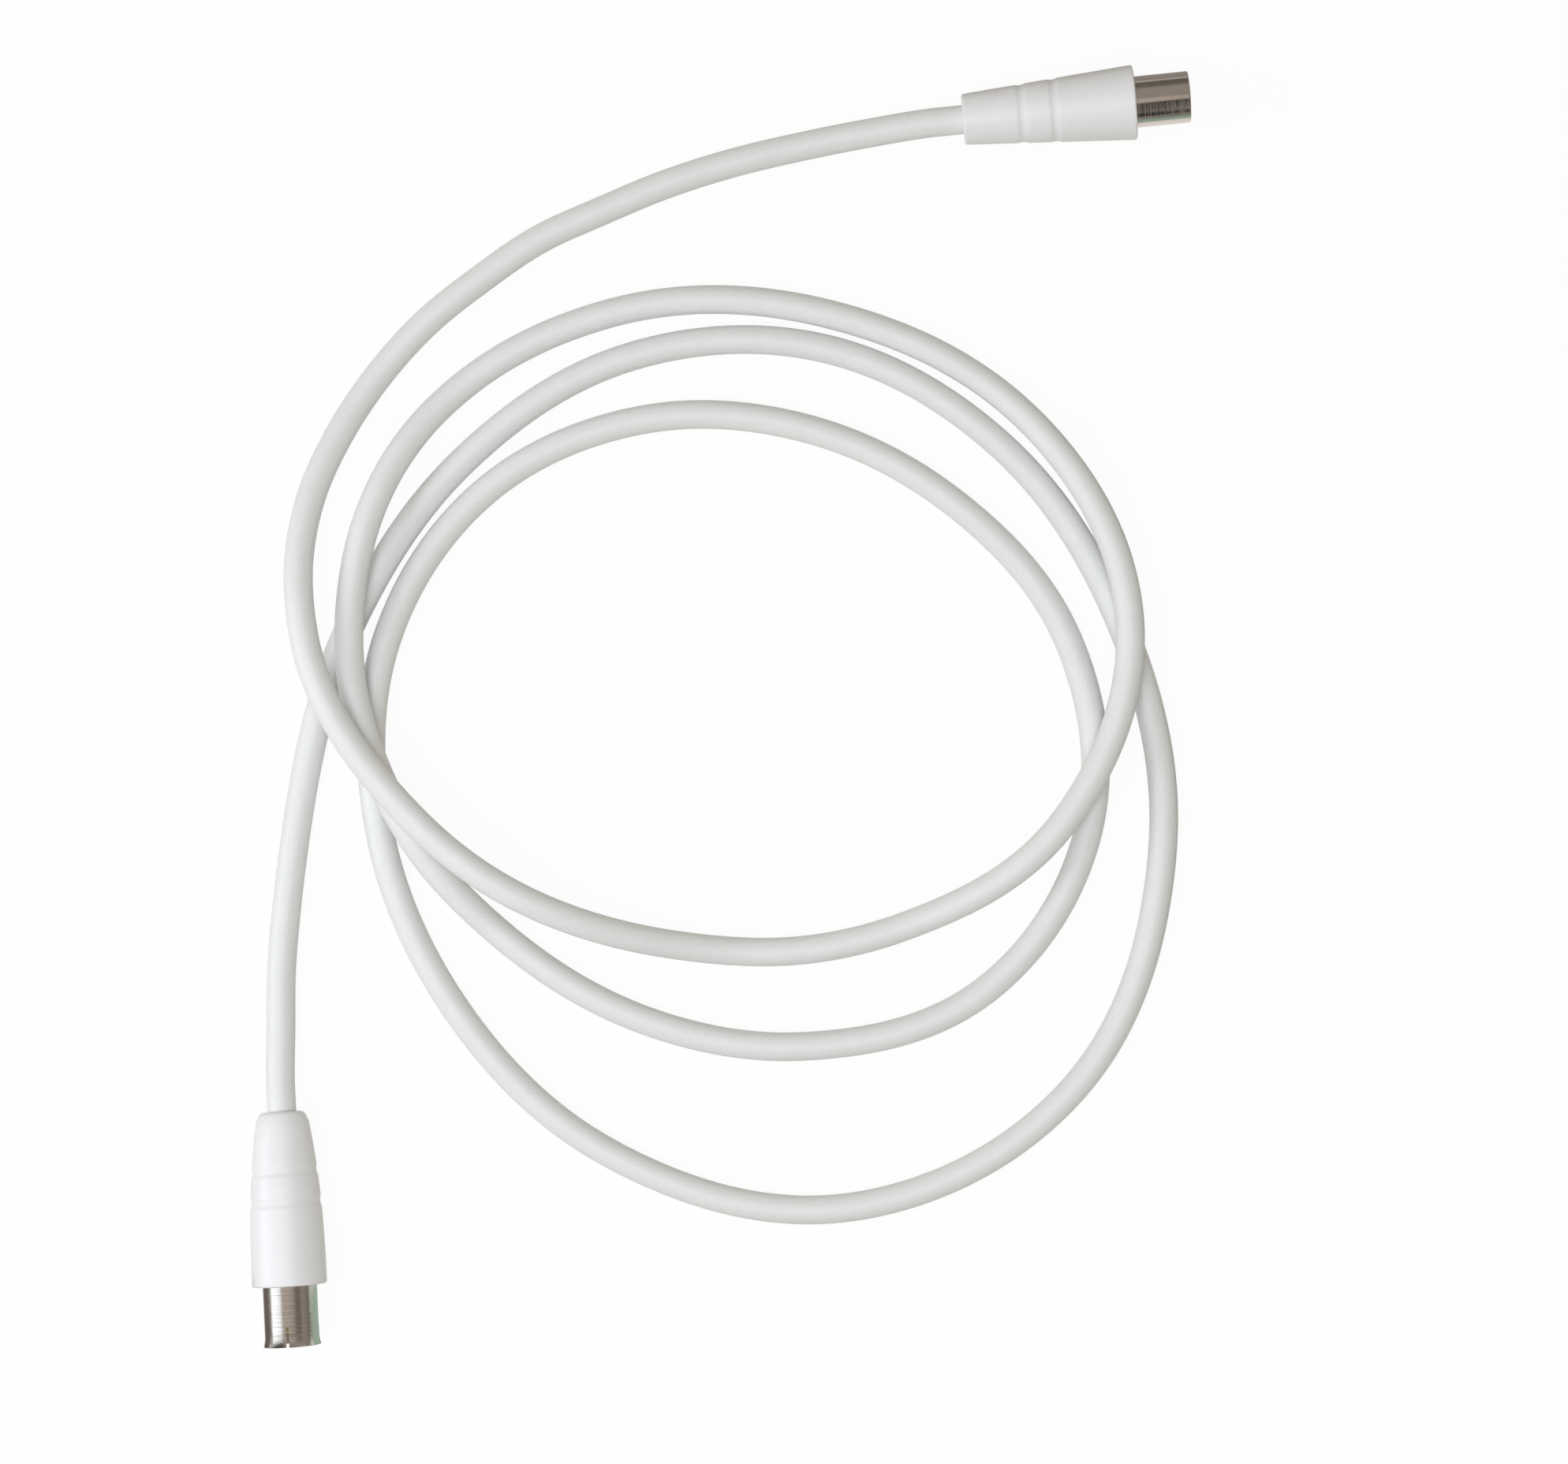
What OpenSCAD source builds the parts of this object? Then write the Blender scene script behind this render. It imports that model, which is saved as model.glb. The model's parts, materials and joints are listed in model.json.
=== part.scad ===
// Aerial lead: one length of screened coaxial cable with a moulded push-on
// plug on one end and a moulded push-on socket on the other, lying on a
// surface in a loose coil of about three turns. All sizes are in millimetres.
// The lead lies on z = 0, and the middle of the box round the two connectors
// is at x = 0, y = 0.

/* [Cable] */
// Outer diameter of the cable's jacket
cable_d = 5.4; // [4.8:0.1:5.8]
// Outer diameter of the braided screen
braid_d = 3.8; // [3.5:0.1:4]
// Outer diameter of the foamed insulation round the wire
dielectric_d = 3.1; // [2.4:0.1:3.3]
// Diameter of the centre wire
wire_d = 0.5; // [0.4:0.05:0.6]
// Play between one layer of the cable and the next
layer_gap = 0.05; // [0.02:0.01:0.1]

/* [Coil] */
// Space left between two strands where one crosses the other
strand_gap = 0.6; // [0.5:0.05:1.2]
// Depth of the flat on which the cable lies, as a share of its diameter
flat_share = 0.1; // [0.05:0.01:0.15]

/* [Cable ends] */
// Length of jacket held in each connector
jacket_in = 9; // [7:0.1:9.5]
// Length of bare braid past the jacket
braid_bare = 5; // [4:0.1:5.5]
// Length of bare insulation past the braid
dielectric_bare = 3.9; // [3.6:0.1:4.5]
// Space between the insulation and the contact, filled by the solder bead
solder_gap = 0.6; // [0.4:0.1:1]
// Depth of the cup in a contact that takes the wire
cup_depth = 3.5; // [2:0.1:4]
// Diameter of that cup
cup_d = 0.9; // [0.8:0.05:1.1]

/* [Crimp] */
// Space between the end of the jacket and the tail of the shell
tail_gap = 1; // [0.5:0.1:1.5]
// Space between the end of that tail and the crimp ferrule
ferrule_gap = 0.5; // [0.2:0.1:0.8]
// Length of the crimp ferrule
ferrule_len = 4; // [3:0.1:4.2]
// Wall of the crimp ferrule
ferrule_wall = 0.5; // [0.3:0.05:0.7]
// Length of the shell's tail past the end of the braid
tail_past = 1.5; // [1:0.1:1.8]
// Length of the cone between a shell's tail and its barrel
shoulder_len = 2.5; // [2:0.1:2.8]

/* [Fits] */
// Gap left between moulded plastic and what it is moulded round
mould_gap = 0.03; // [0.02:0.01:0.06]
// Gap round an insulator and round its contact
press_gap = 0.02; // [0.01:0.01:0.05]
// Wall of the inner moulding over a ferrule
inner_wall = 0.8; // [0.5:0.05:1]
// Wall of the inner moulding over a barrel
cover_wall = 0.55; // [0.4:0.05:0.6]
// Bevel of an insulator's edges
insulator_edge = 0.3; // [0.1:0.05:0.5]
// Thickness of the solder round the wire where the bead starts
bead_start = 0.3; // [0.2:0.05:0.4]
// Step from the rim of a contact's rear face to the foot of the bead
bead_foot = 0.3; // [0.2:0.05:0.5]

/* [Plug body] */
// Length of the plug's moulded body
plug_len = 32.3; // [31.5:0.1:38]
// Diameter of the body where the cable enters
plug_back_d = 9.4; // [9:0.1:10.4]
// Diameter of the body at its front
plug_front_d = 13.9; // [13.5:0.1:15]
// Rounding of the body's rear edge
plug_back_round = 0.6; // [0.2:0.1:1]
// Rounding of the body's front edge
plug_front_round = 0.4; // [0.2:0.1:0.8]
// Distance of the first ring groove from the cable end
plug_groove_1 = 11.1; // [9:0.1:13]
// Distance of the second ring groove from the cable end
plug_groove_2 = 17.2; // [15.5:0.1:20]

/* [Plug metal] */
// Outer diameter of the plug's sleeve
sleeve_d = 9.525; // [9.4:0.005:9.6]
// Wall of the sleeve
sleeve_wall = 0.4; // [0.3:0.05:0.5]
// Length of sleeve past the body
sleeve_len = 10.2; // [9.4:0.1:12]
// Outer diameter of the sleeve inside the body
sleeve_neck_d = 8.9; // [8.6:0.1:9]
// Diameter of the centre pin
pin_d = 2.4; // [2.2:0.02:2.5]
// Diameter of the pin's seat in the insulator
pin_seat_d = 3.1; // [3:0.05:3.6]
// How far the pin's tip stays behind the sleeve's rim
pin_recess = 0.5; // [0.2:0.1:2]
// Depth of the plug's mouth, from the sleeve's rim to the insulator
plug_mouth = 15.5; // [14.5:0.1:16.3]
// Space between the cone of the plug's shell and the insulator
plug_insulator_gap = 2; // [1.5:0.1:4]
// Length of inner moulding over the plug's barrel
plug_cover_len = 8; // [4:0.1:9]

/* [Socket body] */
// Length of the socket's moulded body
socket_len = 32.3; // [31.5:0.1:38]
// Diameter of the body where the cable enters
socket_back_d = 9.2; // [9:0.1:10]
// Diameter of the body at its front
socket_front_d = 13.9; // [13.5:0.1:15]
// How sharply the body's side curves, as a power
socket_curve = 2.5; // [2:0.1:3]
// Rounding of the body's rear edge
socket_back_round = 1.8; // [1:0.1:1.8]
// Rounding of the body's front edge
socket_front_round = 0.4; // [0.2:0.1:0.8]
// Distance of the first ring groove from the cable end
socket_groove_1 = 11.2; // [9:0.1:13]
// Distance of the second ring groove from the cable end
socket_groove_2 = 17; // [15.5:0.1:20]
// Tilt of the socket's axis as it lies, in degrees
socket_tilt = 6; // [2:0.1:7]

/* [Socket metal] */
// Bore of the socket's barrel
barrel_bore = 9.6; // [9.56:0.01:9.64]
// Wall of the barrel
barrel_wall = 0.25; // [0.2:0.05:0.4]
// Length of barrel past the body
barrel_len = 11.2; // [9.5:0.1:12.5]
// Length of the barrel's lip
lip_len = 1.9; // [1.6:0.1:2.5]
// Length of the lip's flared part
flare_len = 1.1; // [0.8:0.1:1.3]
// How far the lip flares outward
flare = 0.28; // [0.1:0.02:0.4]
// Number of slots in the lip
slot_count = 4; // [2:1:8]
// Width of each slot in the lip
slot_w = 0.5; // [0.3:0.05:0.8]
// Length of each slot in the lip
slot_len = 3.7; // [2:0.1:5]
// Outer diameter of the centre contact
contact_d = 3.7; // [3.5:0.05:4.2]
// Bore of the centre contact
contact_bore = 2.44; // [2.42:0.01:2.6]
// Depth of that bore
contact_depth = 11; // [9:0.1:12]
// Width of the two slots in the centre contact
contact_slot_w = 0.4; // [0.2:0.05:0.6]
// Length of the two slots in the centre contact
contact_slot_len = 7; // [4:0.1:8]
// How far the contact's tip stays behind the barrel's rim
contact_recess = 2.5; // [1.5:0.1:3]
// Bevel of the contact's tip
contact_edge = 0.15; // [0.05:0.05:0.3]
// Depth of the socket's mouth, from the barrel's rim to the insulator
socket_mouth = 14.1; // [12.5:0.1:15]
// Space between the cone of the socket's shell and the insulator
socket_insulator_gap = 5; // [1.5:0.1:7]
// Length of inner moulding over the socket's barrel
socket_cover_len = 10; // [5:0.1:11]

/* [Ring grooves] */
// Radius of the tool that cuts the ring grooves
groove_r = 2; // [1.6:0.1:2.4]
// Depth of the ring grooves
groove_depth = 0.21; // [0.15:0.01:0.25]

/* [Hidden] */
$fn = 48;

// Colours of the materials
WHITE_BODY = [0.93, 0.93, 0.91];
WHITE_JACKET = [0.86, 0.87, 0.88];
NATURAL = [0.88, 0.87, 0.80];
NICKEL = [0.66, 0.65, 0.63];
TIN = [0.78, 0.79, 0.80];
BRASS = [0.80, 0.68, 0.36];
COPPER = [0.80, 0.48, 0.30];

// Stations along a connector's axis, measured from the face where the cable
// enters; both connectors are stripped and crimped alike
at_tail = jacket_in + tail_gap;
at_braid = jacket_in + braid_bare;
at_shoulder = at_braid + tail_past;
at_barrel = at_shoulder + shoulder_len;
at_dielectric = at_braid + dielectric_bare;
at_cup = at_dielectric + solder_gap;
at_wire = at_cup + cup_depth - mould_gap;
at_ferrule = at_tail + ferrule_gap;

// Radii of the layers of the cable
jacket_r = cable_d / 2;
braid_r = braid_d / 2;
dielectric_r = dielectric_d / 2;
wire_r = wire_d / 2;
tail_r = braid_r + layer_gap;

// Where each connector lies: middle of the face where the cable enters, seen
// from above, and the heading of its axis
plug_at = [45.2, 110.4];
plug_heading = 5;
socket_at = [-83.1, -76.5];
socket_heading = -86.4;

// The plug lies on its cone
plug_tilt = atan((plug_front_d - plug_back_d) / 2 / plug_len);
plug_z = plug_back_d / 2 * cos(plug_tilt);
plug_tip = plug_len + sleeve_len;

// The socket rests near its shoulder, at the tilt it is given
socket_tip = socket_len + barrel_len;
function socket_r(s) =
    socket_front_d / 2
    - (socket_front_d - socket_back_d) / 2
      * pow(1 - min(max(s / socket_len, 0), 1), socket_curve);
socket_z = max([for (s = [socket_back_round : socket_len / 128
                          : socket_len])
                socket_r(s) * cos(socket_tilt) - s * sin(socket_tilt)]);

// Directions in which the two axes point
function axis_of(heading, tilt) =
    [cos(tilt) * cos(heading), cos(tilt) * sin(heading), sin(tilt)];
plug_axis = axis_of(plug_heading, plug_tilt);
socket_axis = axis_of(socket_heading, socket_tilt);
plug_base = [plug_at.x, plug_at.y, plug_z];
socket_base = [socket_at.x, socket_at.y, socket_z];

// ---- Route of the cable ----

// Height of the cable's middle where it lies, and the climb to lie on a strand
low = cable_d * (0.5 - flat_share);
climb = cable_d + strand_gap;

// Middle of the coil, and its reach from there every 30 degrees, going round
// anticlockwise from the end that comes from the plug
coil_at = [0, -5];
coil_from = 165;
coil_to = 1275;
reach_step = 30;
reach = [81, 60, 46.7, 41.2, 43, 51, 66, 79, 82.5, 81.5, 82, 81,
         72.5, 62.5, 56.5, 56.5, 61.5, 69.5, 71.5, 67.5, 61.5, 59.5, 61, 64,
         66, 67.5, 72.5, 82.5, 93, 94.5, 86, 78, 75.5, 75, 73, 71,
         73.5, 84];
reach_before = 95;
reach_after = 110;

// Where the cable climbs over other strands: angle where it starts to rise,
// where it is up, where it starts to sink, where it is down, and the number
// of strands below it
humps = [[130, 172, 208, 280, 2],
         [310, 345, 383, 415, 1],
         [485, 513, 553, 585, 1]];

// Points of the two free stretches, with their height above the lying cable
plug_stretch = [[27, 108, 0.8], [14, 105.5, 0], [1.5, 102.5, 0],
                [-11, 98.5, 0], [-23, 93.5, 0], [-35, 88, 0],
                [-46, 80.5, 0], [-56, 72.5, 0], [-65, 62.5, 0.3],
                [-72, 51.5, 2.3], [-77, 39.5, 5.5], [-79, 26.5, 9]];
socket_stretch = [[-82.5, -38, 0], [-83.5, -50.5, 0.3], [-83.5, -60.5, 1.2]];

// Rings of the coil: one every coil_step degrees, and a straight diameter at
// each end
coil_step = 15;
straight = cable_d / reach[0] * 180 / PI;

function ease(t) = let (u = min(max(t, 0), 1)) u * u * (3 - 2 * u);

function climb_at(a) =
    [for (h = humps)
        h[4] * ease((a - h[0]) / (h[1] - h[0]))
             * (1 - ease((a - h[2]) / (h[3] - h[2])))]
    * [for (h = humps) climb];

function smooth(p, q, r, s, t) =
    (2 * q + (r - p) * t + (2 * p - 5 * q + 4 * r - s) * t * t
     + (3 * q - p - 3 * r + s) * t * t * t) / 2;

reaches = concat([reach_before], reach, [reach_after]);

function reach_at(a) =
    let (u = (a - coil_from) / reach_step + 1,
         i = min(max(floor(u), 1), len(reaches) - 3))
    smooth(reaches[i - 1], reaches[i], reaches[i + 1], reaches[i + 2], u - i);

function coil_point(a) =
    [coil_at.x + reach_at(a) * cos(a),
     coil_at.y + reach_at(a) * sin(a),
     low + climb_at(a)];

coil_angles = concat([coil_from, coil_from + straight],
                     [for (a = [coil_from + coil_step : coil_step
                                : coil_to - coil_step]) a],
                     [coil_to - straight, coil_to]);

plug_exit = [plug_base, plug_base - cable_d * plug_axis];
socket_exit = [socket_base - cable_d * socket_axis, socket_base];

plug_side = concat(plug_exit, [for (p = plug_stretch) p + [0, 0, low]]);
coil_line = [for (a = coil_angles) coil_point(a)];
socket_side = concat([for (p = socket_stretch) p + [0, 0, low]], socket_exit);

// The whole route between the two faces where the cable enters
route = concat(plug_side, coil_line, socket_side);
first_of_coil = len(plug_side);
last_of_coil = first_of_coil + len(coil_line) - 1;
route_end = len(route) - 1;

function unit(v) = v / norm(v);

// Direction of the cable at point i: between its two neighbours, and square
// to the straight ends of the coil and of the stretches
function heading_at(i) =
    i == 0 || i == first_of_coil ? unit(route[i + 1] - route[i])
    : i == route_end || i == last_of_coil ? unit(route[i] - route[i - 1])
    : unit(unit(route[i + 1] - route[i]) + unit(route[i] - route[i - 1]));
headings = [for (i = [0 : route_end]) heading_at(i)];

// A ring of points round p, square to the direction t, with a flat side down
// and no point below the surface
sides = 8;
function ring(p, t, r) =
    let (side = unit([t.y, -t.x, 0]), up = cross(side, t))
    [for (k = [0 : sides - 1])
        let (a = (k + 0.5) * 360 / sides,
             v = p + r * cos(a) * side + r * sin(a) * up)
        [v.x, v.y, max(v.z, 0)]];

// Rings of radius r from point i to point j of the route; a layer that ends
// inside a connector takes one ring more there, past_plug or past_socket deep
function rings(i, j, r, past_plug, past_socket) =
    concat(past_plug > 0
               ? [ring(plug_base + past_plug * plug_axis, -plug_axis, r)]
               : [],
           [for (k = [i : j]) ring(route[k], headings[k], r)],
           past_socket > 0
               ? [ring(socket_base + past_socket * socket_axis, socket_axis, r)]
               : []);

// Triangles of the side of a sweep of n rings whose points start at index b
function side_faces(n, b, out) =
    [for (i = [0 : n - 2], k = [0 : sides - 1])
        let (p = b + i * sides + k,
             q = b + i * sides + (k + 1) % sides,
             r = p + sides,
             s = q + sides)
        each out ? [[p, q, s], [p, s, r]] : [[p, s, q], [p, r, s]]];

// Triangles of the ring-shaped end i of a hollow sweep
function end_faces(i, n, first) =
    [for (k = [0 : sides - 1])
        let (p = i * sides + k,
             q = i * sides + (k + 1) % sides,
             r = p + n * sides,
             s = q + n * sides)
        each first ? [[p, r, s], [p, s, q]] : [[p, s, r], [p, q, s]]];

// Triangles of the closed end whose points start at index b
function cap_faces(b, first) =
    [for (k = [1 : sides - 2])
        first ? [b, b + k + 1, b + k] : [b, b + k, b + k + 1]];

module hollow_sweep(outer, inner) {
    n = len(outer);
    polyhedron(
        points = concat([for (r = outer) each r], [for (r = inner) each r]),
        faces = concat(side_faces(n, 0, true),
                       side_faces(n, n * sides, false),
                       end_faces(0, n, true),
                       end_faces(n - 1, n, false)));
}

module solid_sweep(outer) {
    n = len(outer);
    polyhedron(
        points = [for (r = outer) each r],
        faces = concat(side_faces(n, 0, true),
                       cap_faces(0, true),
                       cap_faces((n - 1) * sides, false)));
}

// ---- Least gap of the cable to itself ----

// Nearest distance between the stretches p-q and r-s of the route
function between(p, q, r, s) =
    let (u = q - p, v = s - r, w = p - r,
         a = u * u, b = u * v, c = v * v, d = u * w, e = v * w,
         m = a * c - b * b,
         x = m < 0.000001 ? 0 : min(max((b * e - c * d) / m, 0), 1),
         y = min(max((b * x + e) / c, 0), 1),
         z = min(max((b * y - d) / a, 0), 1))
    norm(w + z * u - y * v);

// Stretches nearer along the cable than this many points are neighbours
apart = 4;
least_gap = min([for (i = [0 : route_end - 1 - apart],
                      j = [i + apart : route_end - 1])
                 between(route[i], route[i + 1], route[j], route[j + 1])])
            - cable_d;
echo(least_gap_of_the_cable_to_itself = least_gap);
echo(length_between_the_connectors =
     [for (i = [0 : route_end - 1]) norm(route[i + 1] - route[i])]
     * [for (i = [0 : route_end - 1]) 1]);

module jacket(i, j, past_plug, past_socket) {
    color(WHITE_JACKET)
        hollow_sweep(rings(i, j, jacket_r, past_plug, past_socket),
                     rings(i, j, tail_r, past_plug, past_socket));
}

module jacket_male_tail() {
    jacket(0, first_of_coil, jacket_in, 0);
}

module jacket_coil() {
    jacket(first_of_coil, last_of_coil, 0, 0);
}

module jacket_female_tail() {
    jacket(last_of_coil, route_end, 0, jacket_in);
}

module shield_braid() {
    color(TIN)
        hollow_sweep(
            rings(0, route_end, braid_r, at_braid, at_braid),
            rings(0, route_end, dielectric_r + layer_gap, at_braid, at_braid));
}

module dielectric() {
    color(NATURAL)
        hollow_sweep(
            rings(0, route_end, dielectric_r, at_dielectric, at_dielectric),
            rings(0, route_end, wire_r + layer_gap,
                  at_dielectric, at_dielectric));
}

module centre_conductor() {
    color(COPPER)
        solid_sweep(rings(0, route_end, wire_r, at_wire, at_wire));
}

// ---- Pieces that both connectors have ----

// Turns something drawn along +Z from the entry face to where the plug lies
module on_plug() {
    translate(plug_base)
        rotate([0, 90 - plug_tilt, plug_heading])
            children();
}

// The same for the socket
module on_socket() {
    translate(socket_base)
        rotate([0, 90 - socket_tilt, socket_heading])
            children();
}

// A turned piece whose half section has the corners [radius, station]
module turned(corners) {
    rotate_extrude()
        polygon(corners);
}

// Corners of a rounded edge of radius r about [x, y], from angle a to b
function round_edge(x, y, r, a, b) =
    [for (k = [0 : 4]) let (t = a + (b - a) * k / 4)
        [x + r * cos(t), y + r * sin(t)]];

// Radius of the outside of the crimp ferrule on a shell of the given wall
function ferrule_r(wall) = tail_r + wall + press_gap + ferrule_wall;

module crimp_ferrule(wall) {
    color(TIN)
        turned([[tail_r + wall + press_gap, at_ferrule],
                [ferrule_r(wall), at_ferrule],
                [ferrule_r(wall), at_ferrule + ferrule_len],
                [tail_r + wall + press_gap, at_ferrule + ferrule_len]]);
}

// Bead of solder on the wire, and the solder that fills the contact's cup
module solder_joint(bead_r) {
    hole = wire_r + mould_gap;
    fill = cup_d / 2 - mould_gap;
    color(TIN)
        turned([[hole, at_dielectric + mould_gap],
                [hole + bead_start, at_dielectric + mould_gap],
                [bead_r, at_cup - mould_gap],
                [fill, at_cup - mould_gap],
                [fill, at_wire],
                [hole, at_wire]]);
}

// First moulding, which closes the rear of a shell: cover_r is its radius
// over the barrel, barrel_r the barrel's own
module inner_mould(wall, barrel_r, cover_len) {
    g = mould_gap;
    over_ferrule = ferrule_r(wall) + g;
    over_tail = tail_r + wall + g;
    color(NATURAL)
        turned([[tail_r, jacket_in + g],
                [ferrule_r(wall) + inner_wall, jacket_in + g],
                [ferrule_r(wall) + inner_wall, at_shoulder],
                [barrel_r + cover_wall, at_barrel],
                [barrel_r + cover_wall, at_barrel + cover_len],
                [barrel_r + g, at_barrel + cover_len],
                [barrel_r + g, at_barrel],
                [over_tail, at_shoulder],
                [over_tail, at_ferrule + ferrule_len + g],
                [over_ferrule, at_ferrule + ferrule_len + g],
                [over_ferrule, at_ferrule - g],
                [over_tail, at_ferrule - g],
                [over_tail, at_tail - g],
                [tail_r, at_tail - g]]);
}

// Corners of the hollow in an outer moulding, from its front to its rear
function hollow(wall, barrel_r, cover_len, front) =
    let (g = mould_gap,
         back = ferrule_r(wall) + inner_wall + g,
         cover = barrel_r + cover_wall + g)
    [[barrel_r + g, front],
     [barrel_r + g, at_barrel + cover_len + g],
     [cover, at_barrel + cover_len + g],
     [cover, at_barrel],
     [back, at_shoulder],
     [back, jacket_in],
     [jacket_r + g, jacket_in],
     [jacket_r + g, 0]];

// Ring that cuts a groove into a surface of radius r at the given station
module groove(r, station) {
    translate([0, 0, station])
        rotate_extrude()
            translate([r + groove_r - groove_depth, 0])
                circle(r = groove_r, $fn = 32);
}

// ---- Plug ----

neck_r = sleeve_neck_d / 2;
sleeve_r = sleeve_d / 2;
plug_insulator_end = plug_tip - plug_mouth;
plug_insulator_at = at_barrel + plug_insulator_gap;

function plug_r(s) =
    (plug_back_d + (plug_front_d - plug_back_d) * s / plug_len) / 2;

module male_overmould() {
    b = plug_back_round;
    f = plug_front_round;
    color(WHITE_BODY)
        on_plug()
            difference() {
                turned(concat(
                    round_edge(plug_r(b) - b, b, b, -90, -plug_tilt),
                    round_edge(plug_r(plug_len - f) - f, plug_len - f, f,
                               -plug_tilt, 90),
                    hollow(sleeve_wall, neck_r, plug_cover_len, plug_len)));
                groove(plug_r(plug_groove_1), plug_groove_1);
                groove(plug_r(plug_groove_2), plug_groove_2);
            }
}

module male_inner_mould() {
    on_plug()
        inner_mould(sleeve_wall, neck_r, plug_cover_len);
}

module male_shell() {
    w = sleeve_wall;
    rim = w / 4;
    color(NICKEL)
        on_plug()
            turned([[tail_r, at_tail],
                    [tail_r + w, at_tail],
                    [tail_r + w, at_shoulder],
                    [neck_r, at_barrel],
                    [neck_r, plug_len],
                    [sleeve_r, plug_len],
                    [sleeve_r, plug_tip - rim],
                    [sleeve_r - rim, plug_tip],
                    [sleeve_r - w + rim, plug_tip],
                    [sleeve_r - w, plug_tip - rim],
                    [sleeve_r - w, plug_len + w],
                    [neck_r - w, plug_len + w],
                    [neck_r - w, at_barrel],
                    [tail_r, at_shoulder]]);
}

module male_insulator() {
    r = neck_r - sleeve_wall - press_gap;
    edge = insulator_edge;
    color(NATURAL)
        on_plug()
            turned([[pin_seat_d / 2 + press_gap, plug_insulator_at],
                    [r - edge, plug_insulator_at],
                    [r, plug_insulator_at + edge],
                    [r, plug_insulator_end - edge],
                    [r - edge, plug_insulator_end],
                    [pin_seat_d / 2 + press_gap, plug_insulator_end]]);
}

module male_centre_pin() {
    r = pin_d / 2;
    tip = plug_tip - pin_recess;
    color(BRASS)
        on_plug()
            turned([[cup_d / 2, at_cup],
                    [pin_seat_d / 2, at_cup],
                    [pin_seat_d / 2, plug_insulator_end],
                    [r, plug_insulator_end],
                    [r, tip - r],
                    [r * 0.92, tip - r * 0.6],
                    [r * 0.7, tip - r * 0.25],
                    [r * 0.35, tip],
                    [0, tip],
                    [0, at_cup + cup_depth],
                    [cup_d / 2, at_cup + cup_depth]]);
}

module male_crimp_ferrule() {
    on_plug()
        crimp_ferrule(sleeve_wall);
}

module male_solder_joint() {
    on_plug()
        solder_joint(pin_seat_d / 2 - bead_foot);
}

// ---- Socket ----

barrel_r = barrel_bore / 2 + barrel_wall;
socket_insulator_end = socket_tip - socket_mouth;
socket_insulator_at = at_barrel + socket_insulator_gap;

// Half section of the body's side, from behind the rear edge to the front one
side_steps = 16;
function side_of_body(from, to) =
    [for (k = [0 : side_steps])
        let (s = from + (to - from) * pow(k / side_steps, 1.3))
        [socket_r(s), s]];

module female_overmould() {
    b = socket_back_round;
    f = socket_front_round;
    lean = atan((socket_r(b + b / 10) - socket_r(b)) / b * 10);
    color(WHITE_BODY)
        on_socket()
            difference() {
                turned(concat(
                    round_edge(socket_r(b) - b * cos(lean),
                               b * (1 - sin(lean)), b * (1 - sin(lean)),
                               -90, -lean),
                    side_of_body(b, socket_len - f),
                    round_edge(socket_front_d / 2 - f, socket_len - f, f,
                               0, 90),
                    hollow(barrel_wall, barrel_r, socket_cover_len,
                           socket_len)));
                groove(socket_r(socket_groove_1), socket_groove_1);
                groove(socket_r(socket_groove_2), socket_groove_2);
            }
}

module female_inner_mould() {
    on_socket()
        inner_mould(barrel_wall, barrel_r, socket_cover_len);
}

module female_shell() {
    w = barrel_wall;
    lip = socket_tip - lip_len;
    color(NICKEL)
        on_socket()
            difference() {
                turned([[tail_r, at_tail],
                        [tail_r + w, at_tail],
                        [tail_r + w, at_shoulder],
                        [barrel_r, at_barrel],
                        [barrel_r, lip],
                        [barrel_r + flare, lip + flare_len],
                        [barrel_r + flare, socket_tip],
                        [barrel_r + flare - w, socket_tip],
                        [barrel_r + flare - w, lip + flare_len],
                        [barrel_r - w, lip],
                        [barrel_r - w, at_barrel],
                        [tail_r, at_shoulder]]);
                for (k = [0 : slot_count - 1])
                    rotate(180 + k * 360 / slot_count)
                        translate([barrel_r - 2 * w, -slot_w / 2,
                                   socket_tip - slot_len])
                            cube([3 * w + flare, slot_w, 2 * slot_len]);
            }
}

module female_insulator() {
    r = barrel_r - barrel_wall - press_gap;
    edge = insulator_edge;
    hole = contact_d / 2 + press_gap;
    color(NATURAL)
        on_socket()
            turned([[hole, socket_insulator_at],
                    [r - edge, socket_insulator_at],
                    [r, socket_insulator_at + edge],
                    [r, socket_insulator_end - edge],
                    [r - edge, socket_insulator_end],
                    [hole, socket_insulator_end]]);
}

module female_centre_socket() {
    r = contact_d / 2;
    tip = socket_tip - contact_recess;
    edge = contact_edge;
    color(BRASS)
        on_socket()
            difference() {
                turned([[cup_d / 2, at_cup],
                        [r, at_cup],
                        [r, tip - edge],
                        [r - edge, tip],
                        [contact_bore / 2, tip],
                        [contact_bore / 2, tip - contact_depth],
                        [0, tip - contact_depth],
                        [0, at_cup + cup_depth],
                        [cup_d / 2, at_cup + cup_depth]]);
                translate([-2 * r, -contact_slot_w / 2,
                           tip - contact_slot_len])
                    cube([4 * r, contact_slot_w, 2 * contact_slot_len]);
            }
}

module female_crimp_ferrule() {
    on_socket()
        crimp_ferrule(barrel_wall);
}

module female_solder_joint() {
    on_socket()
        solder_joint(contact_d / 2 - bead_foot);
}

male_overmould();
male_inner_mould();
male_shell();
male_insulator();
male_centre_pin();
male_crimp_ferrule();
male_solder_joint();
female_overmould();
female_inner_mould();
female_shell();
female_insulator();
female_centre_socket();
female_crimp_ferrule();
female_solder_joint();
jacket_male_tail();
jacket_coil();
jacket_female_tail();
shield_braid();
dielectric();
centre_conductor();
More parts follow.
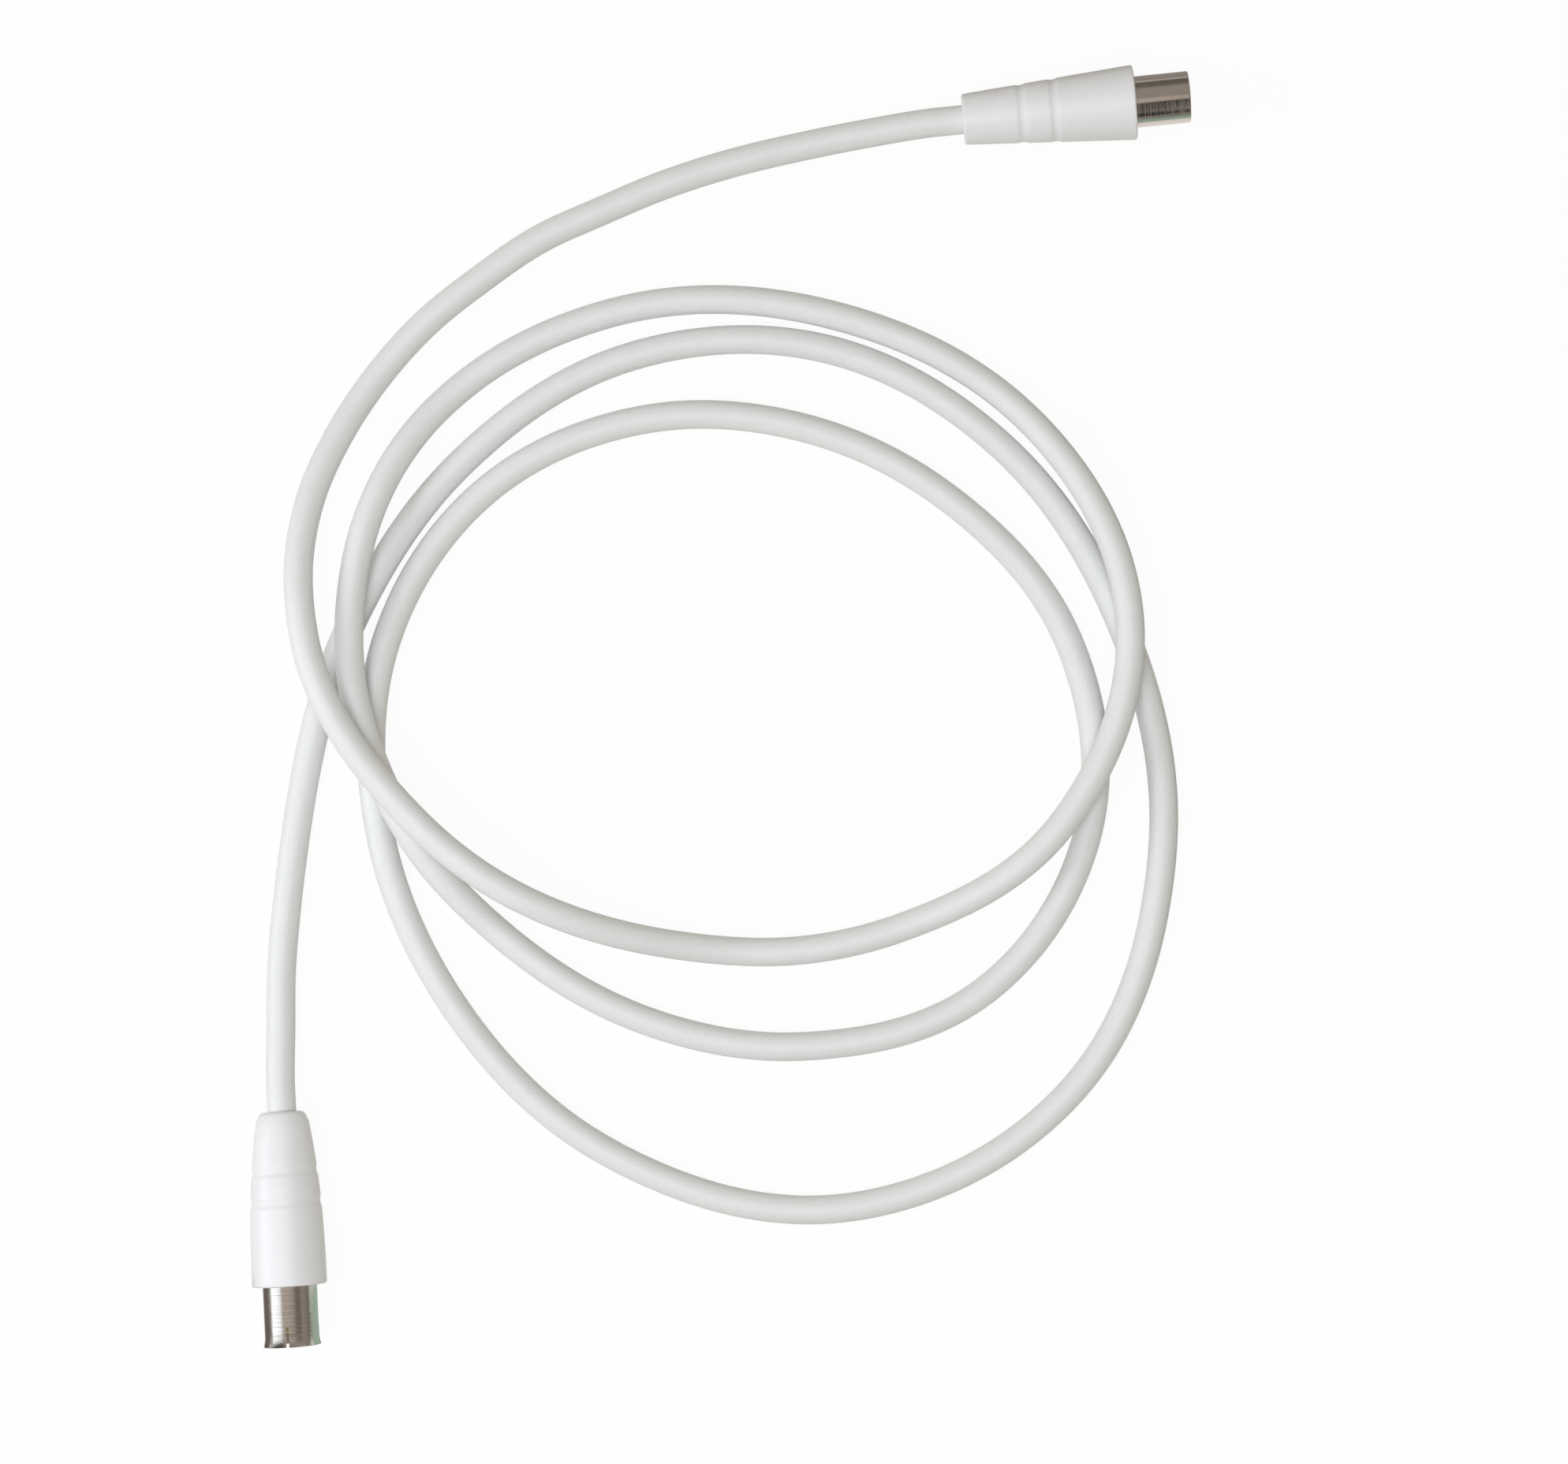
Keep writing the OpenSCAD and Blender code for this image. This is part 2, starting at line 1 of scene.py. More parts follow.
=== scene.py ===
"""Aerial lead: a coaxial cable with a push-on plug and a push-on socket.

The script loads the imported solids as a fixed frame, lays the cable along its
route in fine tubes, turns the visible pieces of both connectors in finer
meshes than the solids have, gives every piece its finish, and sets up the
floor, the lamps, the cards and the camera. Lengths are in millimetres until a mesh is
made, and the scene itself is in metres.
"""

import json
import logging
import math
from abc import ABC, abstractmethod
from dataclasses import dataclass, field, replace
from enum import Enum
from typing import Callable, ClassVar, Iterable, Mapping, Sequence

import bmesh
import bpy
from mathutils import Matrix, Vector


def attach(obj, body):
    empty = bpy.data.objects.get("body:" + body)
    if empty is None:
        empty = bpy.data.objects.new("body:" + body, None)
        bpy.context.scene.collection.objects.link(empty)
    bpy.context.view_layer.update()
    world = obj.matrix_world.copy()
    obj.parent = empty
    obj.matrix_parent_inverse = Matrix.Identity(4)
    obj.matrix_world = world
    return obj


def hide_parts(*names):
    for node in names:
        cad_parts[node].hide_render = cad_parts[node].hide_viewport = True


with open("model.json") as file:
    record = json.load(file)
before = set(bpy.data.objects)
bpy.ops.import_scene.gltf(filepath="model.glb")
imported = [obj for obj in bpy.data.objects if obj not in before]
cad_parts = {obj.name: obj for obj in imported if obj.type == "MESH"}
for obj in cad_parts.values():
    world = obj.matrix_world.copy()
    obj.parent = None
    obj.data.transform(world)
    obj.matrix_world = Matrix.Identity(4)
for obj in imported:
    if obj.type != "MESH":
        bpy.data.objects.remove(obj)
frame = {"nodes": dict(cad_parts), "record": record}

LOG = logging.getLogger("aerial_lead")
MM = 0.001
TUBE_SHARP = 40
TURNED_SHARP = 28
SLOT_OF = {
    entry["node"]: entry["material_slot"] for entry in frame["record"]["subparts"]
}

Point = tuple[float, float, float]
Profile = list[tuple[float, float]]
Colour = tuple[float, float, float]


# ---------------------------------------------------------------- shader maths


class Number:
    """A number on a shader graph that takes part in Python expressions."""

    def __init__(self, graph: "Graph", socket: bpy.types.NodeSocket) -> None:
        """Wraps one output socket.

        Args:
            graph: The graph that the socket belongs to.
            socket: The output socket.
        """
        self.graph = graph
        self.socket = socket

    def _math(self, operation: str, *values: "Number | float") -> "Number":
        """Adds a Math node.

        Args:
            operation: The node's operation.
            values: What its sockets take, in order.

        Returns:
            The node's result.
        """
        sockets = dict(enumerate(values))
        node = self.graph.add("ShaderNodeMath", {"operation": operation}, sockets)
        return Number(self.graph, node.outputs[0])

    def __add__(self, other: "Number | float") -> "Number":
        """Sum."""
        return self._math("ADD", self, other)

    def __radd__(self, other: float) -> "Number":
        """Sum, with the plain number first."""
        return self._math("ADD", other, self)

    def __sub__(self, other: "Number | float") -> "Number":
        """Difference."""
        return self._math("SUBTRACT", self, other)

    def __rsub__(self, other: float) -> "Number":
        """Difference, with the plain number first."""
        return self._math("SUBTRACT", other, self)

    def __mul__(self, other: "Number | float") -> "Number":
        """Product."""
        return self._math("MULTIPLY", self, other)

    def __rmul__(self, other: float) -> "Number":
        """Product, with the plain number first."""
        return self._math("MULTIPLY", other, self)

    def clamp(self, low: float, high: float) -> "Number":
        """Keeps the number between two limits.

        Args:
            low: The lower limit.
            high: The upper limit.

        Returns:
            The limited number.
        """
        return self._math("MINIMUM", self._math("MAXIMUM", self, low), high)

    def step(self, low: float, high: float) -> "Number":
        """Turns the range from low to high into a smooth 0 to 1.

        Args:
            low: Where the result is 0.
            high: Where the result is 1.

        Returns:
            The eased number.
        """
        node = self.graph.add(
            "ShaderNodeMapRange",
            {"interpolation_type": "SMOOTHSTEP"},
            {"Value": self, "From Min": low, "From Max": high},
        )
        return Number(self.graph, node.outputs["Result"])


class Graph:
    """A material's or world's node tree, built node by node."""

    def __init__(self, tree: bpy.types.NodeTree) -> None:
        """Empties the tree.

        Args:
            tree: The node tree to build in.
        """
        self.tree = tree
        tree.nodes.clear()

    def add(
        self,
        kind: str,
        settings: Mapping[str, object] | None = None,
        sockets: Mapping[str | int, object] | None = None,
    ) -> bpy.types.Node:
        """Adds one node.

        Args:
            kind: The node's type.
            settings: Its settings, made first.
            sockets: Values or links of its input sockets.

        Returns:
            The new node.
        """
        node = self.tree.nodes.new(kind)
        for name, value in (settings or {}).items():
            setattr(node, name, value)
        for name, value in (sockets or {}).items():
            if isinstance(value, Number):
                self.tree.links.new(value.socket, node.inputs[name])
            elif isinstance(value, bpy.types.NodeSocket):
                self.tree.links.new(value, node.inputs[name])
            elif isinstance(value, tuple) and len(value) == 3:
                socket = node.inputs[name]
                socket.default_value = (
                    value if socket.type == "VECTOR" else (*value, 1.0)
                )
            else:
                node.inputs[name].default_value = value
        return node

    def place(self) -> bpy.types.NodeSocket:
        """Gives the place on the object, in metres in the shared frame."""
        return self.add("ShaderNodeTexCoord").outputs["Object"]

    def noise(self, size_mm: float, detail: float = 2.0) -> Number:
        """Adds a noise whose blobs have about the given size.

        Args:
            size_mm: Size of the blobs, in millimetres.
            detail: The noise's detail.

        Returns:
            The noise's value, from 0 to 1.
        """
        scale = 1.0 / (size_mm * MM)
        sockets = {"Vector": self.place(), "Scale": scale, "Detail": detail}
        node = self.add("ShaderNodeTexNoise", {"noise_dimensions": "3D"}, sockets)
        return Number(self, node.outputs["Fac"])

    def mix(
        self, share: object, first: object, second: object, how: str = "MIX"
    ) -> bpy.types.NodeSocket:
        """Mixes two colours.

        Args:
            share: How much of the second shows.
            first: The first colour, plain or linked.
            second: The second colour, plain or linked.
            how: The Mix node's way of blending.

        Returns:
            The mixed colour.
        """
        settings = {"data_type": "RGBA", "blend_type": how}
        node = self.add("ShaderNodeMix", settings, {0: share, 6: first, 7: second})
        return node.outputs[2]

    def tint(self, colour: Colour, shade: Number) -> bpy.types.NodeSocket:
        """Multiplies a colour by a number."""
        return self.mix(1.0, colour, shade, "MULTIPLY")

    def glow(self, colour: Colour, strength: float) -> bpy.types.NodeSocket:
        """Adds a plain glow."""
        sockets = {"Color": colour, "Strength": strength}
        return self.add("ShaderNodeEmission", None, sockets).outputs[0]

    def end_with(self, shader: bpy.types.NodeSocket, kind: str = "Material") -> None:
        """Adds the output of a material, or of a world."""
        self.add(f"ShaderNodeOutput{kind}", None, {"Surface": shader})

    def relief(self, height: Number, depth_mm: float) -> bpy.types.NodeSocket:
        """Turns a height into a bumped normal.

        Args:
            height: The height, from 0 to 1.
            depth_mm: What a height of 1 stands for, in millimetres.

        Returns:
            The normal.
        """
        sockets = {"Strength": 1.0, "Distance": depth_mm * MM, "Height": height}
        return self.add("ShaderNodeBump", None, sockets).outputs["Normal"]

    def surface(self, sockets: Mapping[str | int, object]) -> None:
        """Adds the main shader and the output.

        Args:
            sockets: Values or links of the shader's sockets.
        """
        shader = self.add("ShaderNodeBsdfPrincipled", None, sockets)
        self.end_with(shader.outputs["BSDF"])


def new_material(name: str) -> tuple[bpy.types.Material, Graph]:
    """Makes an empty material with nodes.

    Args:
        name: The material's name.

    Returns:
        The material and its graph.
    """
    material = bpy.data.materials.new(name)
    material.use_nodes = True
    return material, Graph(material.node_tree)


# -------------------------------------------------------------------- finishes


@dataclass(frozen=True)
class MouldedPlastic:
    """A moulded or extruded plastic, with faint mottling and a few specks."""

    name: str
    colour: Colour
    roughness: float
    mottle: float = 0.04
    mottle_mm: float = 0.5
    specks: float = 0.0
    grain_mm: float = 0.25
    grain_depth_mm: float = 0.01
    sheen_spread: float = 0.06
    ior: float = 1.5
    cloud_mm: float = 6.0
    speck_mm: float = 0.55
    speck_range: tuple[float, float] = (0.80, 0.86)
    speck_share: float = 0.55
    speck_shade: float = 0.72

    def build(self) -> bpy.types.Material:
        """Builds the material."""
        material, graph = new_material(self.name)
        cloud = graph.noise(self.cloud_mm, detail=3.0)
        fine = graph.noise(self.mottle_mm, detail=3.0)
        shade = 1.0 + (fine - 0.5) * self.mottle * 2 + (cloud - 0.5) * self.mottle
        colour = graph.tint(self.colour, shade)
        if self.specks:
            low, high = self.speck_range
            dust = graph.noise(self.speck_mm, detail=1.0)
            dust = dust.step(low - self.specks, high)
            grime = tuple(self.speck_shade * part for part in self.colour)
            colour = graph.mix(dust * self.speck_share, colour, grime)
        grain = graph.noise(self.grain_mm)
        rough = self.roughness + (cloud - 0.5) * self.sheen_spread
        graph.surface(
            {
                "Base Color": colour,
                "Roughness": rough.clamp(0.05, 1.0),
                "IOR": self.ior,
                "Normal": graph.relief(grain, self.grain_depth_mm),
            }
        )
        return material


@dataclass(frozen=True)
class TurnedMetal:
    """A plated or bare metal with fine marks round the axis of the piece."""

    name: str
    colour: Colour
    roughness: float
    axis: Point = (1.0, 0.0, 0.0)
    mark_depth_mm: float = 0.02
    mark_mm: float = 0.12
    haze: float = 0.10
    cloud_mm: float = 1.8
    fine_mm: float = 0.2
    cloud_spread: float = 0.08
    mark_spread: float = 0.05

    def build(self) -> bpy.types.Material:
        """Builds the material."""
        material, graph = new_material(self.name)
        along = graph.add(
            "ShaderNodeVectorMath",
            {"operation": "DOT_PRODUCT"},
            {0: graph.place(), 1: self.axis},
        )
        station = Number(graph, along.outputs["Value"])
        lines = graph.add(
            "ShaderNodeTexNoise",
            {"noise_dimensions": "1D"},
            {"W": station, "Scale": 1.0 / (self.mark_mm * MM), "Detail": 3.0},
        )
        turned = Number(graph, lines.outputs["Fac"])
        cloud = graph.noise(self.cloud_mm, detail=3.0)
        fine = graph.noise(self.fine_mm)
        shade = 1.0 + (cloud - 0.5) * self.haze + (fine - 0.5) * self.haze
        rough = self.roughness + (cloud - 0.5) * self.cloud_spread
        rough = rough + (turned - 0.5) * self.mark_spread
        graph.surface(
            {
                "Base Color": graph.tint(self.colour, shade),
                "Metallic": 1.0,
                "Roughness": rough.clamp(0.04, 1.0),
                "Normal": graph.relief(turned, self.mark_depth_mm),
            }
        )
        return material


@dataclass(frozen=True)
class BraidedWire:
    """Fine tinned wires plaited round the cable, with painted shade in the gaps between
    the wires.
    """

    name: str
    colour: Colour
    pitch_mm: float = 0.6
    seam: float = 0.12
    seam_shade: float = 0.45
    roughness: float = 0.38
    depth_mm: float = 0.05

    def build(self) -> bpy.types.Material:
        """Builds the material."""
        material, graph = new_material(self.name)
        cell = graph.add(
            "ShaderNodeTexVoronoi",
            {"feature": "DISTANCE_TO_EDGE"},
            {"Vector": graph.place(), "Scale": 1.0 / (self.pitch_mm * MM)},
        )
        # Painted shade: the colour darkens towards the gaps between the wires.
        gap = Number(graph, cell.outputs["Distance"]).step(0.0, self.seam)
        shade = self.seam_shade + gap * (1 - self.seam_shade)
        graph.surface(
            {
                "Base Color": graph.tint(self.colour, shade),
                "Metallic": 1.0,
                "Roughness": self.roughness,
                "Normal": graph.relief(gap, self.depth_mm),
            }
        )
        return material


# ---------------------------------------------------------------------- meshes


def add_object(name: str, mesh: bpy.types.Mesh) -> bpy.types.Object:
    """Puts a mesh in the scene.

    Args:
        name: The object's name.
        mesh: Its mesh, in metres in the shared frame.

    Returns:
        The new object.
    """
    piece = bpy.data.objects.new(name, mesh)
    bpy.context.scene.collection.objects.link(piece)
    return piece


def smooth_shading(mesh: bpy.types.Mesh, sharp_degrees: float) -> None:
    """Shades a mesh smoothly, with edges above an angle left sharp.

    Args:
        mesh: The mesh.
        sharp_degrees: The angle.
    """
    mesh.polygons.foreach_set("use_smooth", [True] * len(mesh.polygons))
    mesh.set_sharp_from_angle(angle=math.radians(sharp_degrees))


def mesh_of(
    name: str, points: Sequence[Sequence[float]], faces: Sequence[Sequence[int]]
) -> bpy.types.Mesh:
    """Makes a mesh from points in millimetres.

    Args:
        name: The mesh's name.
        points: The points.
        faces: The faces, as indices of points.

    Returns:
        The mesh, in metres.
    """
    mesh = bpy.data.meshes.new(name)
    mesh.from_pydata([[MM * part for part in point] for point in points], [], faces)
    mesh.validate()
    return mesh


@dataclass
class Tube:
    """A round tube or rod swept along points that lie close together."""

    name: str
    outer_r: float
    inner_r: float
    sides: int

    def _ring(self, point: Vector, along: Vector, radius: float) -> list[Vector]:
        """Gives one ring of points, square to the tube.

        Args:
            point: The ring's middle.
            along: The tube's direction there.
            radius: The ring's radius.

        Returns:
            The points.
        """
        side = Vector((along.y, -along.x, 0.0)).normalized()
        up = side.cross(along)
        ring = []
        for index in range(self.sides):
            angle = 2 * math.pi * (index + 0.5) / self.sides
            ring.append(
                point + radius * (math.cos(angle) * side + math.sin(angle) * up)
            )
        return ring

    def _join(self, start: int, step: int, flip: bool) -> list[list[int]]:
        """Joins a ring to the ring that begins a number of points after it.

        Args:
            start: Index of the ring's first point.
            step: How many points on the other ring begins.
            flip: Whether the faces look the other way.

        Returns:
            The faces.
        """
        faces = []
        for side in range(self.sides):
            first, second = start + side, start + (side + 1) % self.sides
            face = [first, second, second + step, first + step]
            faces.append(face[::-1] if flip else face)
        return faces

    def build(self, line: Sequence[Vector]) -> bpy.types.Object:
        """Sweeps the tube.

        Args:
            line: The points of the middle line, in millimetres.

        Returns:
            The tube.
        """
        count, sides = len(line), self.sides
        hollow = self.inner_r > 0
        points: list[Vector] = []
        for radius in [self.outer_r] + [self.inner_r] * hollow:
            for index, point in enumerate(line):
                along = line[min(index + 1, count - 1)] - line[max(index - 1, 0)]
                points += self._ring(point, along.normalized(), radius)
        layer = count * sides
        faces: list[list[int]] = []
        for start in range(0, layer - sides, sides):
            faces += self._join(start, sides, False)
        if hollow:
            for start in range(layer, 2 * layer - sides, sides):
                faces += self._join(start, sides, True)
            faces += self._join(0, layer, True)
            faces += self._join(layer - sides, layer, False)
        else:
            faces.append(list(range(sides))[::-1])
            faces.append(list(range(layer - sides, layer)))
        mesh = mesh_of(self.name, points, faces)
        smooth_shading(mesh, TUBE_SHARP)
        return add_object(self.name, mesh)


def arc(
    x: float, y: float, radius: float, start: float, end: float, steps: int = 8
) -> Profile:
    """Gives the points of a rounded edge.

    Args:
        x: Distance of its centre from the axis.
        y: Station of its centre.
        radius: Its radius.
        start: First angle, in degrees.
        end: Last angle, in degrees.
        steps: Number of steps.

    Returns:
        The points, as pairs of a radius and a station.
    """
    profile = []
    for index in range(steps + 1):
        angle = math.radians(start + (end - start) * index / steps)
        profile.append((x + radius * math.cos(angle), y + radius * math.sin(angle)))
    return profile


@dataclass(frozen=True)
class Placing:
    """Where a connector lies: entry face, heading and tilt."""

    x: float
    y: float
    z: float
    heading: float
    tilt: float

    def axis(self) -> Vector:
        """Gives the direction of the connector's axis."""
        tilt, heading = math.radians(self.tilt), math.radians(self.heading)
        return Vector(
            (
                math.cos(tilt) * math.cos(heading),
                math.cos(tilt) * math.sin(heading),
                math.sin(tilt),
            )
        )

    def base(self) -> Vector:
        """Gives the middle of the entry face."""
        return Vector((self.x, self.y, self.z))

    def at(self, station: float) -> Vector:
        """Gives the point of the axis at a station."""
        return self.base() + station * self.axis()

    def matrix(self) -> Matrix:
        """Gives the move from the connector's own frame to the shared one."""
        turn = Matrix.Rotation(math.radians(self.heading), 4, "Z") @ Matrix.Rotation(
            math.radians(90 - self.tilt), 4, "Y"
        )
        return Matrix.Translation(self.base()) @ turn


def turned(
    name: str, profile: Profile, placing: Placing, segments: int
) -> bpy.types.Object:
    """Turns a closed half section about a connector's axis.

    Args:
        name: The piece's name.
        profile: Corners of the half section, as radius and station, in
            anticlockwise order with the radius to the right.
        placing: Where the connector lies.
        segments: Number of segments round the axis.

    Returns:
        The piece.
    """
    move = placing.matrix()
    points: list[Vector] = []
    starts: list[tuple[int, int]] = []
    for radius, station in profile:
        count = 1 if radius < 1e-6 else segments
        starts.append((len(points), count))
        for index in range(count):
            angle = 2 * math.pi * index / segments
            corner = (radius * math.cos(angle), radius * math.sin(angle), station)
            points.append(move @ Vector(corner))
    faces = []
    for index, (first, first_count) in enumerate(starts):
        second, second_count = starts[(index + 1) % len(starts)]
        if first_count == 1 and second_count == 1:
            continue
        for step in range(segments):
            after = (step + 1) % segments
            ring = [
                first + step % first_count,
                first + after % first_count,
                second + after % second_count,
                second + step % second_count,
            ]
            faces.append(list(dict.fromkeys(ring)))
    mesh = mesh_of(name, points, faces)
    smooth_shading(mesh, TURNED_SHARP)
    return add_object(name, mesh)


def cut_slots(
    piece: bpy.types.Object, placing: Placing, low: Point, high: Point,
    turns: Iterable[float],
) -> None:  # fmt: skip
    """Cuts a slot into a piece at each turn about its axis.

    Args:
        piece: The piece.
        placing: Where the connector lies.
        low: The slot's lowest corner in the connector's frame, not turned.
        high: Its highest corner.
        turns: The turns, in degrees.
    """
    for turn in turns:
        move = placing.matrix() @ Matrix.Rotation(math.radians(turn), 4, "Z")
        shape = bmesh.new()
        bmesh.ops.create_cube(shape, size=1.0)
        for vertex in shape.verts:
            corner = [
                low[axis] if vertex.co[axis] < 0 else high[axis] for axis in range(3)
            ]
            vertex.co = MM * (move @ Vector(corner))
        mesh = bpy.data.meshes.new("slot_cutter")
        shape.to_mesh(mesh)
        shape.free()
        cutter = add_object("slot_cutter", mesh)
        modifier = piece.modifiers.new("slot", "BOOLEAN")
        modifier.operation = "DIFFERENCE"
        modifier.solver = "EXACT"
        modifier.object = cutter
        evaluated = piece.evaluated_get(bpy.context.evaluated_depsgraph_get())
        mesh = bpy.data.meshes.new_from_object(evaluated)
        piece.modifiers.clear()
        piece.data = mesh
        bpy.data.objects.remove(cutter)
    smooth_shading(piece.data, TURNED_SHARP)


# -------------------------------------------------------------------- assembly


class End(Enum):
    """The end of the lead that a piece belongs to."""

    PLUG = "male"
    SOCKET = "female"

    @property
    def word(self) -> str:
        """Gives the end's plain name."""
        return self.name.lower()


@dataclass
class Cable:
    """The cable: its layers and its route between the two connectors."""

    plug: Placing
    socket: Placing
    jacket_in: float
    pieces: dict[str, bpy.types.Object] = field(default_factory=dict)
    length_m: float = 1.615
    diameter: float = 5.4
    braid_d: float = 3.8
    dielectric_d: float = 3.1
    wire_d: float = 0.5
    layer_gap: float = 0.05
    strand_gap: float = 0.15
    jacket_sides: int = 28
    inner_sides: int = 16
    wire_sides: int = 10
    braid_bare: float = 5.0
    dielectric_bare: float = 3.9
    wire_bare: float = 4.07
    coil_at: tuple[float, float] = (0.0, -5.0)
    coil_from: int = 165
    coil_to: int = 1275
    reach_step: float = 30.0
    # The cable's distance from the coil's middle at each step round it
    reach: tuple[float, ...] = (
        95,
        81, 60, 46.7, 41.2, 43, 51, 66, 79, 82.5, 81.5, 82, 81,
        72.5, 62.5, 56.5, 56.5, 61.5, 69.5, 71.5, 67.5, 61.5, 59.5, 61, 64,
        66, 67.5, 72.5, 82.5, 93, 94.5, 86, 78, 75.5, 75, 73, 71,
        73.5, 84,
        110,
    )  # fmt: skip
    # Where the cable starts to climb over others, is up, starts down and is
    # down again, in degrees round the coil, and how many strands it climbs
    humps: tuple[tuple[float, ...], ...] = (
        (130, 172, 208, 280, 2),
        (310, 345, 383, 415, 1),
        (485, 513, 553, 585, 1),
    )
    plug_stretch: tuple[Point, ...] = (
        (27, 108, 0.6), (14, 105.5, 0), (1.5, 102.5, 0), (-11, 98.5, 0),
        (-23, 93.5, 0), (-35, 88, 0), (-46, 80.5, 0), (-56, 72.5, 0),
        (-65, 62.5, 0.3), (-72, 51.5, 2.2), (-77, 39.5, 5.1), (-79, 26.5, 8.3),
    )  # fmt: skip
    socket_stretch: tuple[Point, ...] = (
        (-82.5, -38, 0), (-83.5, -50.5, 0.12), (-83.5, -60.5, 0.65),
    )  # fmt: skip
    coil_point_step: int = 5
    line_step: float = 1.5

    @staticmethod
    def ease(share: float) -> float:
        """Eases a share from 0 to 1."""
        kept = min(max(share, 0.0), 1.0)
        return kept * kept * (3 - 2 * kept)

    def climb(self, angle: float) -> float:
        """Gives the height of the cable above where it lies.

        Args:
            angle: How far round the coil, in degrees.

        Returns:
            The height, in millimetres.
        """
        strands = sum(
            count
            * self.ease((angle - start) / (top - start))
            * (1 - self.ease((angle - leave) / (end - leave)))
            for start, top, leave, end, count in self.humps
        )
        return strands * (self.diameter + self.strand_gap)

    def coil_point(self, angle: float) -> Vector:
        """Gives a point of the coil.

        Args:
            angle: How far round, in degrees.

        Returns:
            The point.
        """
        share = (angle - self.coil_from) / self.reach_step + 1
        index = min(max(math.floor(share), 1), len(self.reach) - 3)
        reach = smooth(*self.reach[index - 1 : index + 3], share - index)
        turn = math.radians(angle)
        return Vector(
            (
                self.coil_at[0] + reach * math.cos(turn),
                self.coil_at[1] + reach * math.sin(turn),
                self.diameter / 2 + self.climb(angle),
            )
        )

    def route(self) -> list[Vector]:
        """Gives the points that the cable follows, from plug to socket."""
        lift = Vector((0, 0, self.diameter / 2))
        points = [self.plug.at(0), self.plug.at(-self.diameter)]
        points += [Vector(point) + lift for point in self.plug_stretch]
        points += [
            self.coil_point(angle)
            for angle in range(
                self.coil_from, self.coil_to + 1, self.coil_point_step
            )
        ]
        points += [Vector(point) + lift for point in self.socket_stretch]
        points += [self.socket.at(-self.diameter), self.socket.at(0)]
        return points

    def line(self, past_jacket: float) -> list[Vector]:
        """Gives the middle line in short steps, straight inside the connectors.

        Args:
            past_jacket: How far past the jacket's end the line runs.

        Returns:
            The points.
        """
        depth = self.jacket_in + past_jacket
        route = [self.plug.at(depth), *self.route(), self.socket.at(depth)]
        points: list[Vector] = [self.plug.at(depth)]
        for index in range(1, len(route)):
            start, end = route[index - 1], route[index]
            before = route[max(index - 2, 0)]
            after = route[min(index + 1, len(route) - 1)]
            count = max(1, round((end - start).length / self.line_step))
            straight = index <= 2 or index >= len(route) - 2
            for step in range(1, count + 1):
                share = step / count
                if straight:
                    points.append(start.lerp(end, share))
                else:
                    point = centripetal(before, start, end, after, share)
                    point.z = max(point.z, self.diameter / 2)
                    points.append(point)
        return points

    def build(self) -> None:
        """Builds the cable's four layers, outermost first."""
        gap, inner = self.layer_gap, self.inner_sides
        braid_r, foam_r = self.braid_d / 2, self.dielectric_d / 2
        wire_r = self.wire_d / 2
        jacket = Tube(
            "cable_jacket", self.diameter / 2, braid_r + gap, self.jacket_sides
        )
        braid = Tube("cable_braid", braid_r, foam_r + gap, inner)
        foam = Tube("cable_dielectric", foam_r, wire_r + gap, inner)
        wire = Tube("cable_wire", wire_r, 0.0, self.wire_sides)
        tails_and_coil = ("jacket_male_tail", "jacket_coil", "jacket_female_tail")
        past = 0.0
        for tube, bare, nodes in (
            (jacket, 0.0, tails_and_coil),
            (braid, self.braid_bare, ("shield_braid",)),
            (foam, self.dielectric_bare, ("dielectric",)),
            (wire, self.wire_bare, ("centre_conductor",)),
        ):
            past += bare
            piece = tube.build(self.line(past))
            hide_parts(*nodes)
            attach(piece, "root")
            self.pieces[nodes[0]] = piece
            LOG.info("%s stands for %s", piece.name, ", ".join(nodes))

    def declare(self) -> None:
        jacket, *inside = self.pieces.values()
        line = self.line(0)
        length = sum(
            (after - before).length for before, after in zip(line, line[1:])
        )
        LOG.info("cable: %.0f mm of jacket", length)
        tuple(MM * self.plug.base())
        self.diameter * MM
        [tuple(MM * point) for point in line]
        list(inside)

    def dress(self, finishes: "Finishes") -> None:
        """Gives every layer its finish."""
        for node, piece in self.pieces.items():
            finishes.dress(piece, SLOT_OF[node], End.PLUG)


def smooth(
    before: float, start: float, end: float, after: float, share: float
) -> float:
    """Runs smoothly through four even values.

    Args:
        before: The value before the start.
        start: The value at the start.
        end: The value at the end.
        after: The value after the end.
        share: How far from start to end, from 0 to 1.

    Returns:
        The value there.
    """
    return 0.5 * (
        2 * start
        + (end - before) * share
        + (2 * before - 5 * start + 4 * end - after) * share**2
        + (3 * start - before - 3 * end + after) * share**3
    )


def centripetal(
    before: Vector, start: Vector, end: Vector, after: Vector, share: float
) -> Vector:
    """Runs smoothly through four uneven points.

    Args:
        before: The point before the start.
        start: The point at the start.
        end: The point at the end.
        after: The point after the end.
        share: How far from start to end, from 0 to 1.

    Returns:
        The point there.
    """
    gap_0 = max((start - before).length, 1e-6)
    gap_1 = max((end - start).length, 1e-6)
    gap_2 = max((after - end).length, 1e-6)
    slope_in = (
        (start - before) / gap_0
        - (end - before) / (gap_0 + gap_1)
        + (end - start) / gap_1
    )
    slope_out = (
        (end - start) / gap_1
        - (after - start) / (gap_1 + gap_2)
        + (after - end) / gap_2
    )
    slope_in *= gap_1
    slope_out *= gap_1
    square, cube = share**2, share**3
    return (
        (2 * cube - 3 * square + 1) * start
        + (cube - 2 * square + share) * slope_in
        + (3 * square - 2 * cube) * end
        + (cube - square) * slope_out
    )


